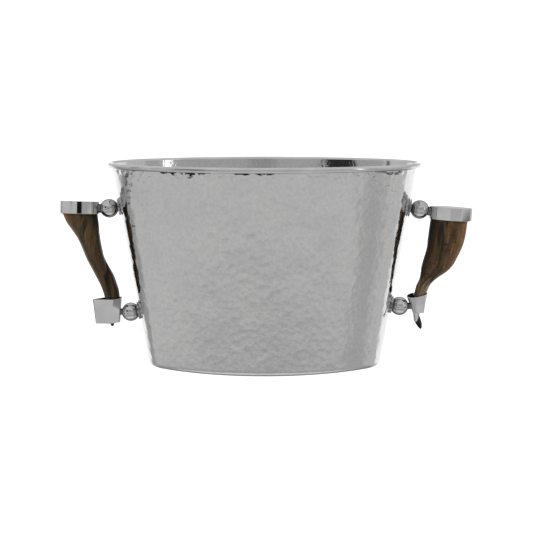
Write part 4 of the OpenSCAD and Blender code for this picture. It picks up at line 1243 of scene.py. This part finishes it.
@dataclass
class Handle:
    """One whole handle: cap, horn, sleeve and the two polished balls."""

    side: Side
    cap_length: float
    cap_tilt: float
    rows: Sequence[tuple[float, float, float, float, float]]
    grooves: Sequence[Sequence[tuple[float, float, float, float]]]
    ridge: float
    seed: float
    cap_nod: float = 0.0
    cap_lift: float = 0.0

    def build(self, finishes: Finishes) -> None:
        """Makes and dresses the handle."""
        places = HandlePlaces(self.side)
        LOG.info("%s handle: balls at %s and %s", self.side.word, places.upper_ball, places.lower_ball)
        cap = Cap(places, self.cap_length * MM, math.radians(self.cap_tilt),
                  nod=math.radians(self.cap_nod), lift=self.cap_lift * MM)
        cap.build(finishes)
        skin = finishes.left_horn if self.side is Side.LEFT else finishes.right_horn
        Horn(places, self.rows, cap, self.grooves, self.ridge, seed=self.seed).build(skin)
        sleeve = FoldedSleeve(places) if self.side is Side.LEFT else WrappedSleeve(places)
        sleeve.build(finishes)
        for level in ("upper", "lower"):
            PolishedBall(places, level).build(finishes)


# ------------------------------------------------------- pieces of the frame


@dataclass
class FramePieces:
    """The pieces that keep the frame's own shape and only get their finish."""

    finishes: Finishes

    def finish_for(self, node: str) -> bpy.types.Material:
        """The finish of a frame piece, by its name."""
        f = self.finishes
        # The necks take the near-black finish that paints the shade between cap and ball.
        for word, material in (("plug", f.wood), ("seal", f.seal), ("screw", f.steel), ("washer", f.steel),
                               ("neck", f.painted_neck_shade), ("flange", f.flange), ("base", f.plain), ("wire", f.plain)):
            if word in node:
                return material
        return f.polished

    def build(self) -> None:
        """Dresses every frame piece that is still shown."""
        for title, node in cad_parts.items():
            if node.hide_render:
                continue
            material = self.finish_for(title)
            for place in node.material_slots:
                place.material = material
            LOG.info("%s keeps its shape, finish %s", title, material.name)


# -------------------------------------------------------------------- studio


@dataclass(frozen=True)
class Zone:
    """A soft-edged part of the surroundings; angles in degrees, 0 is toward the viewer's side."""

    turn: tuple[float, float]
    rise: tuple[float, float]
    soft: float
    light: float


@dataclass
class Studio:
    """A pale floor, surroundings with bright and dark parts, a card, two lamps and the camera."""

    ground: float = 0.72
    backdrop: float = 1.2
    floor_tone: float = 0.9
    floor_width: float = 12.0
    lamp_aim: tuple[float, float, float] = (0, 0, 0.1)
    card_size: tuple[float, float] = (0.115, 0.040)
    card_turn: float = 1.5
    card_away: float = 0.3
    card_x: float = -0.187
    card_z: float = 0.186
    camera_place: tuple[float, float, float] = (0.00204, -1.26033, 0.27992)
    camera_aim: tuple[float, float, float] = (0.00204, 0.0, 0.10132)
    lens: float = 84.2
    sensor: float = 36.0
    zones: Sequence[Zone] = (
        Zone((-400, 400), (30, 100), 8, 0.80),
        Zone((-70, 70), (9, 27), 2.5, 0.52),
        Zone((-100, 100), (-49, -31.5), 8, 0.49),
        Zone((-100, 100), (-75, -52), 3, 0.95),
        Zone((-400, -128), (-26, 8), 5, 1.30),
        Zone((112, 400), (-26, 8), 5, 1.30),
        Zone((-122, -102), (-50, 4), 5, 0.46),
        Zone((0, 45), (-8, -3), 0.7, 0.58),
        Zone((62, 78), (-45, -17), 5, 0.56),
        Zone((-52, -14), (-15, -8.4), 1, 0.20),
        Zone((-110, -70), (-15, -8.4), 1, 0.12),
        Zone((50, 95), (-15, -8.4), 1, 0.14),
        Zone((2, 50), (2, 8), 0.7, 0.52),
        Zone((-52, -34), (5, 26), 1, 0.03),
        Zone((54, 56.8), (5, 26), 1, 4.0),
        Zone((-6, 8), (10, 27), 2, 0.42),
        Zone((-82, -76), (5, 26), 1.5, 0.15),
        Zone((-400, -100), (-110, -40), 6, 0.36),
        Zone((100, 400), (-110, -40), 6, 0.36),
    )

    def world(self) -> None:
        """Sets the surroundings that the metal mirrors."""
        world = bpy.data.worlds.new("studio")
        bpy.context.scene.world = world
        world.use_nodes = True
        tree = world.node_tree
        tree.nodes.clear()

        def add(kind: str, **values: object) -> bpy.types.Node:
            """Adds a node to the surroundings."""
            node = tree.nodes.new(kind)
            for key, value in values.items():
                setattr(node, key, value)
            return node

        def math_node(how: str, *values: object) -> bpy.types.NodeSocket:
            """A sum of sockets and numbers."""
            node = add("ShaderNodeMath", operation=how)
            for socket, value in zip(node.inputs, values):
                if isinstance(value, bpy.types.NodeSocket):
                    tree.links.new(value, socket)
                else:
                    socket.default_value = value
            return node.outputs[0]

        way = add("ShaderNodeSeparateXYZ")
        tree.links.new(add("ShaderNodeTexCoord").outputs["Generated"], way.inputs[0])
        degrees = 180 / math.pi
        forward = math_node("MULTIPLY", way.outputs[1], -1.0)
        turn = math_node("MULTIPLY", math_node("ARCTAN2", way.outputs[0], forward), degrees)
        rise = math_node("MULTIPLY", math_node("ARCSINE", way.outputs[2]), degrees)

        def between(value: bpy.types.NodeSocket, ends: tuple[float, float],
                    soft: float) -> bpy.types.NodeSocket:
            """One inside the two ends, falling softly to nought outside them."""
            parts = []
            for low, high in ((ends[0] - soft, ends[0] + soft), (ends[1] + soft, ends[1] - soft)):
                node = add("ShaderNodeMapRange", interpolation_type="SMOOTHSTEP")
                tree.links.new(value, node.inputs["Value"])
                node.inputs["From Min"].default_value = low
                node.inputs["From Max"].default_value = high
                parts.append(node.outputs[0])
            return math_node("MULTIPLY", *parts)

        light: object = self.ground
        for zone in self.zones:
            share = between(rise, zone.rise, zone.soft)
            if abs(zone.turn[0]) < 360 or abs(zone.turn[1]) < 360:
                share = math_node("MULTIPLY", share, between(turn, zone.turn, zone.soft))
            kept = math_node("MULTIPLY", light, math_node("SUBTRACT", 1.0, share))
            light = math_node("ADD", kept, math_node("MULTIPLY", share, zone.light))
        seen = add("ShaderNodeLightPath").outputs["Is Camera Ray"]
        unseen = math_node("MULTIPLY", light, math_node("SUBTRACT", 1.0, seen))
        final = math_node("ADD", unseen, math_node("MULTIPLY", seen, self.backdrop))
        shade = add("ShaderNodeBackground")
        shade.inputs["Color"].default_value = (1.0, 1.0, 1.0, 1.0)
        tree.links.new(final, shade.inputs["Strength"])
        tree.links.new(shade.outputs[0], add("ShaderNodeOutputWorld").inputs[0])

    def floor(self) -> None:
        """Lays a plain pale floor, which the metal does not mirror."""
        Bench.clear()
        bpy.ops.mesh.primitive_plane_add(size=self.floor_width, location=(0, 0, -0.0002))
        plane = Bench.name("pale_floor")
        material = bpy.data.materials.new("pale_floor")
        material.use_nodes = True
        tree = material.node_tree
        tree.nodes.clear()
        out = tree.nodes.new("ShaderNodeOutputMaterial")
        paint = tree.nodes.new("ShaderNodeBsdfDiffuse")
        paint.inputs["Color"].default_value = (self.floor_tone, self.floor_tone, self.floor_tone, 1)
        glow = tree.nodes.new("ShaderNodeEmission")
        glow.inputs["Strength"].default_value = self.backdrop
        seen = tree.nodes.new("ShaderNodeLightPath")
        both = tree.nodes.new("ShaderNodeMixShader")
        tree.links.new(seen.outputs["Is Camera Ray"], both.inputs[0])
        tree.links.new(paint.outputs[0], both.inputs[1])
        tree.links.new(glow.outputs[0], both.inputs[2])
        tree.links.new(both.outputs[0], out.inputs["Surface"])
        plane.data.materials.append(material)
        plane.visible_glossy = False

    def dark_card(self) -> None:
        """Stands a small black card before the left handle; only mirror images show it."""
        Bench.clear()
        turn = math.radians(self.card_turn)
        middle = Vector((self.card_x - self.card_away * math.sin(turn),
                         -self.card_away * math.cos(turn), self.card_z))
        bpy.ops.mesh.primitive_plane_add(size=1.0, location=middle, rotation=(math.pi / 2, 0, -turn))
        card = Bench.name("black_card")
        card.scale = (*self.card_size, 1.0)
        bpy.ops.object.transform_apply(location=False, rotation=False, scale=True)
        paint = bpy.data.materials.new("black_card")
        paint.use_nodes = True
        shader = paint.node_tree.nodes["Principled BSDF"]
        shader.inputs["Base Color"].default_value = (0.01, 0.01, 0.01, 1.0)
        shader.inputs["Specular IOR Level"].default_value = 0.0
        card.data.materials.append(paint)
        card.visible_camera = False
        card.visible_diffuse = False
        card.visible_shadow = False

    def lamps(self) -> None:
        """Hangs two soft lamps, which the metal does not mirror."""
        for title, place, size, power in (("key_lamp", (-0.9, -1.1, 1.5), 1.0, 26.0),
                                          ("fill_lamp", (1.2, -0.6, 1.1), 0.9, 12.0)):
            Bench.clear()
            bpy.ops.object.light_add(type="AREA", location=place)
            lamp = bpy.context.object
            lamp.name = title
            lamp.data.energy = power
            lamp.data.size = size
            toward = Vector(self.lamp_aim) - Vector(place)
            lamp.rotation_euler = toward.to_track_quat("-Z", "Y").to_euler()
            lamp.visible_glossy = False

    def camera(self) -> None:
        """Sets up the camera in front of the bucket, a little above it."""
        Bench.clear()
        place = Vector(self.camera_place)
        aim = Vector(self.camera_aim)
        bpy.ops.object.camera_add(location=place)
        camera = bpy.context.object
        camera.rotation_euler = (aim - place).to_track_quat("-Z", "Y").to_euler()
        camera.data.lens = self.lens
        camera.data.sensor_width = self.sensor
        camera.data.clip_start = 0.01
        bpy.context.scene.camera = camera
        bpy.context.scene.view_settings.view_transform = "Standard"

    def build(self) -> None:
        """Makes the whole studio."""
        self.world()
        self.floor()
        self.dark_card()
        self.lamps()
        self.camera()


def main() -> None:
    """Builds the bucket piece by piece and sets the studio round it."""
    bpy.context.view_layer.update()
    finishes = Finishes()
    BucketShell().build(finishes)
    Handle(Side.LEFT, 39.0, 1.5, LEFT_HORN_ROWS, LEFT_GROOVES, 0.22, 3.1,
           cap_nod=5.0, cap_lift=0.8).build(finishes)
    Handle(Side.RIGHT, 42.8, -3.5, RIGHT_HORN_ROWS, RIGHT_GROOVES, 0.42, 8.7).build(finishes)
    FramePieces(finishes).build()
    Studio().build()


if __name__ == "__main__":
    main()
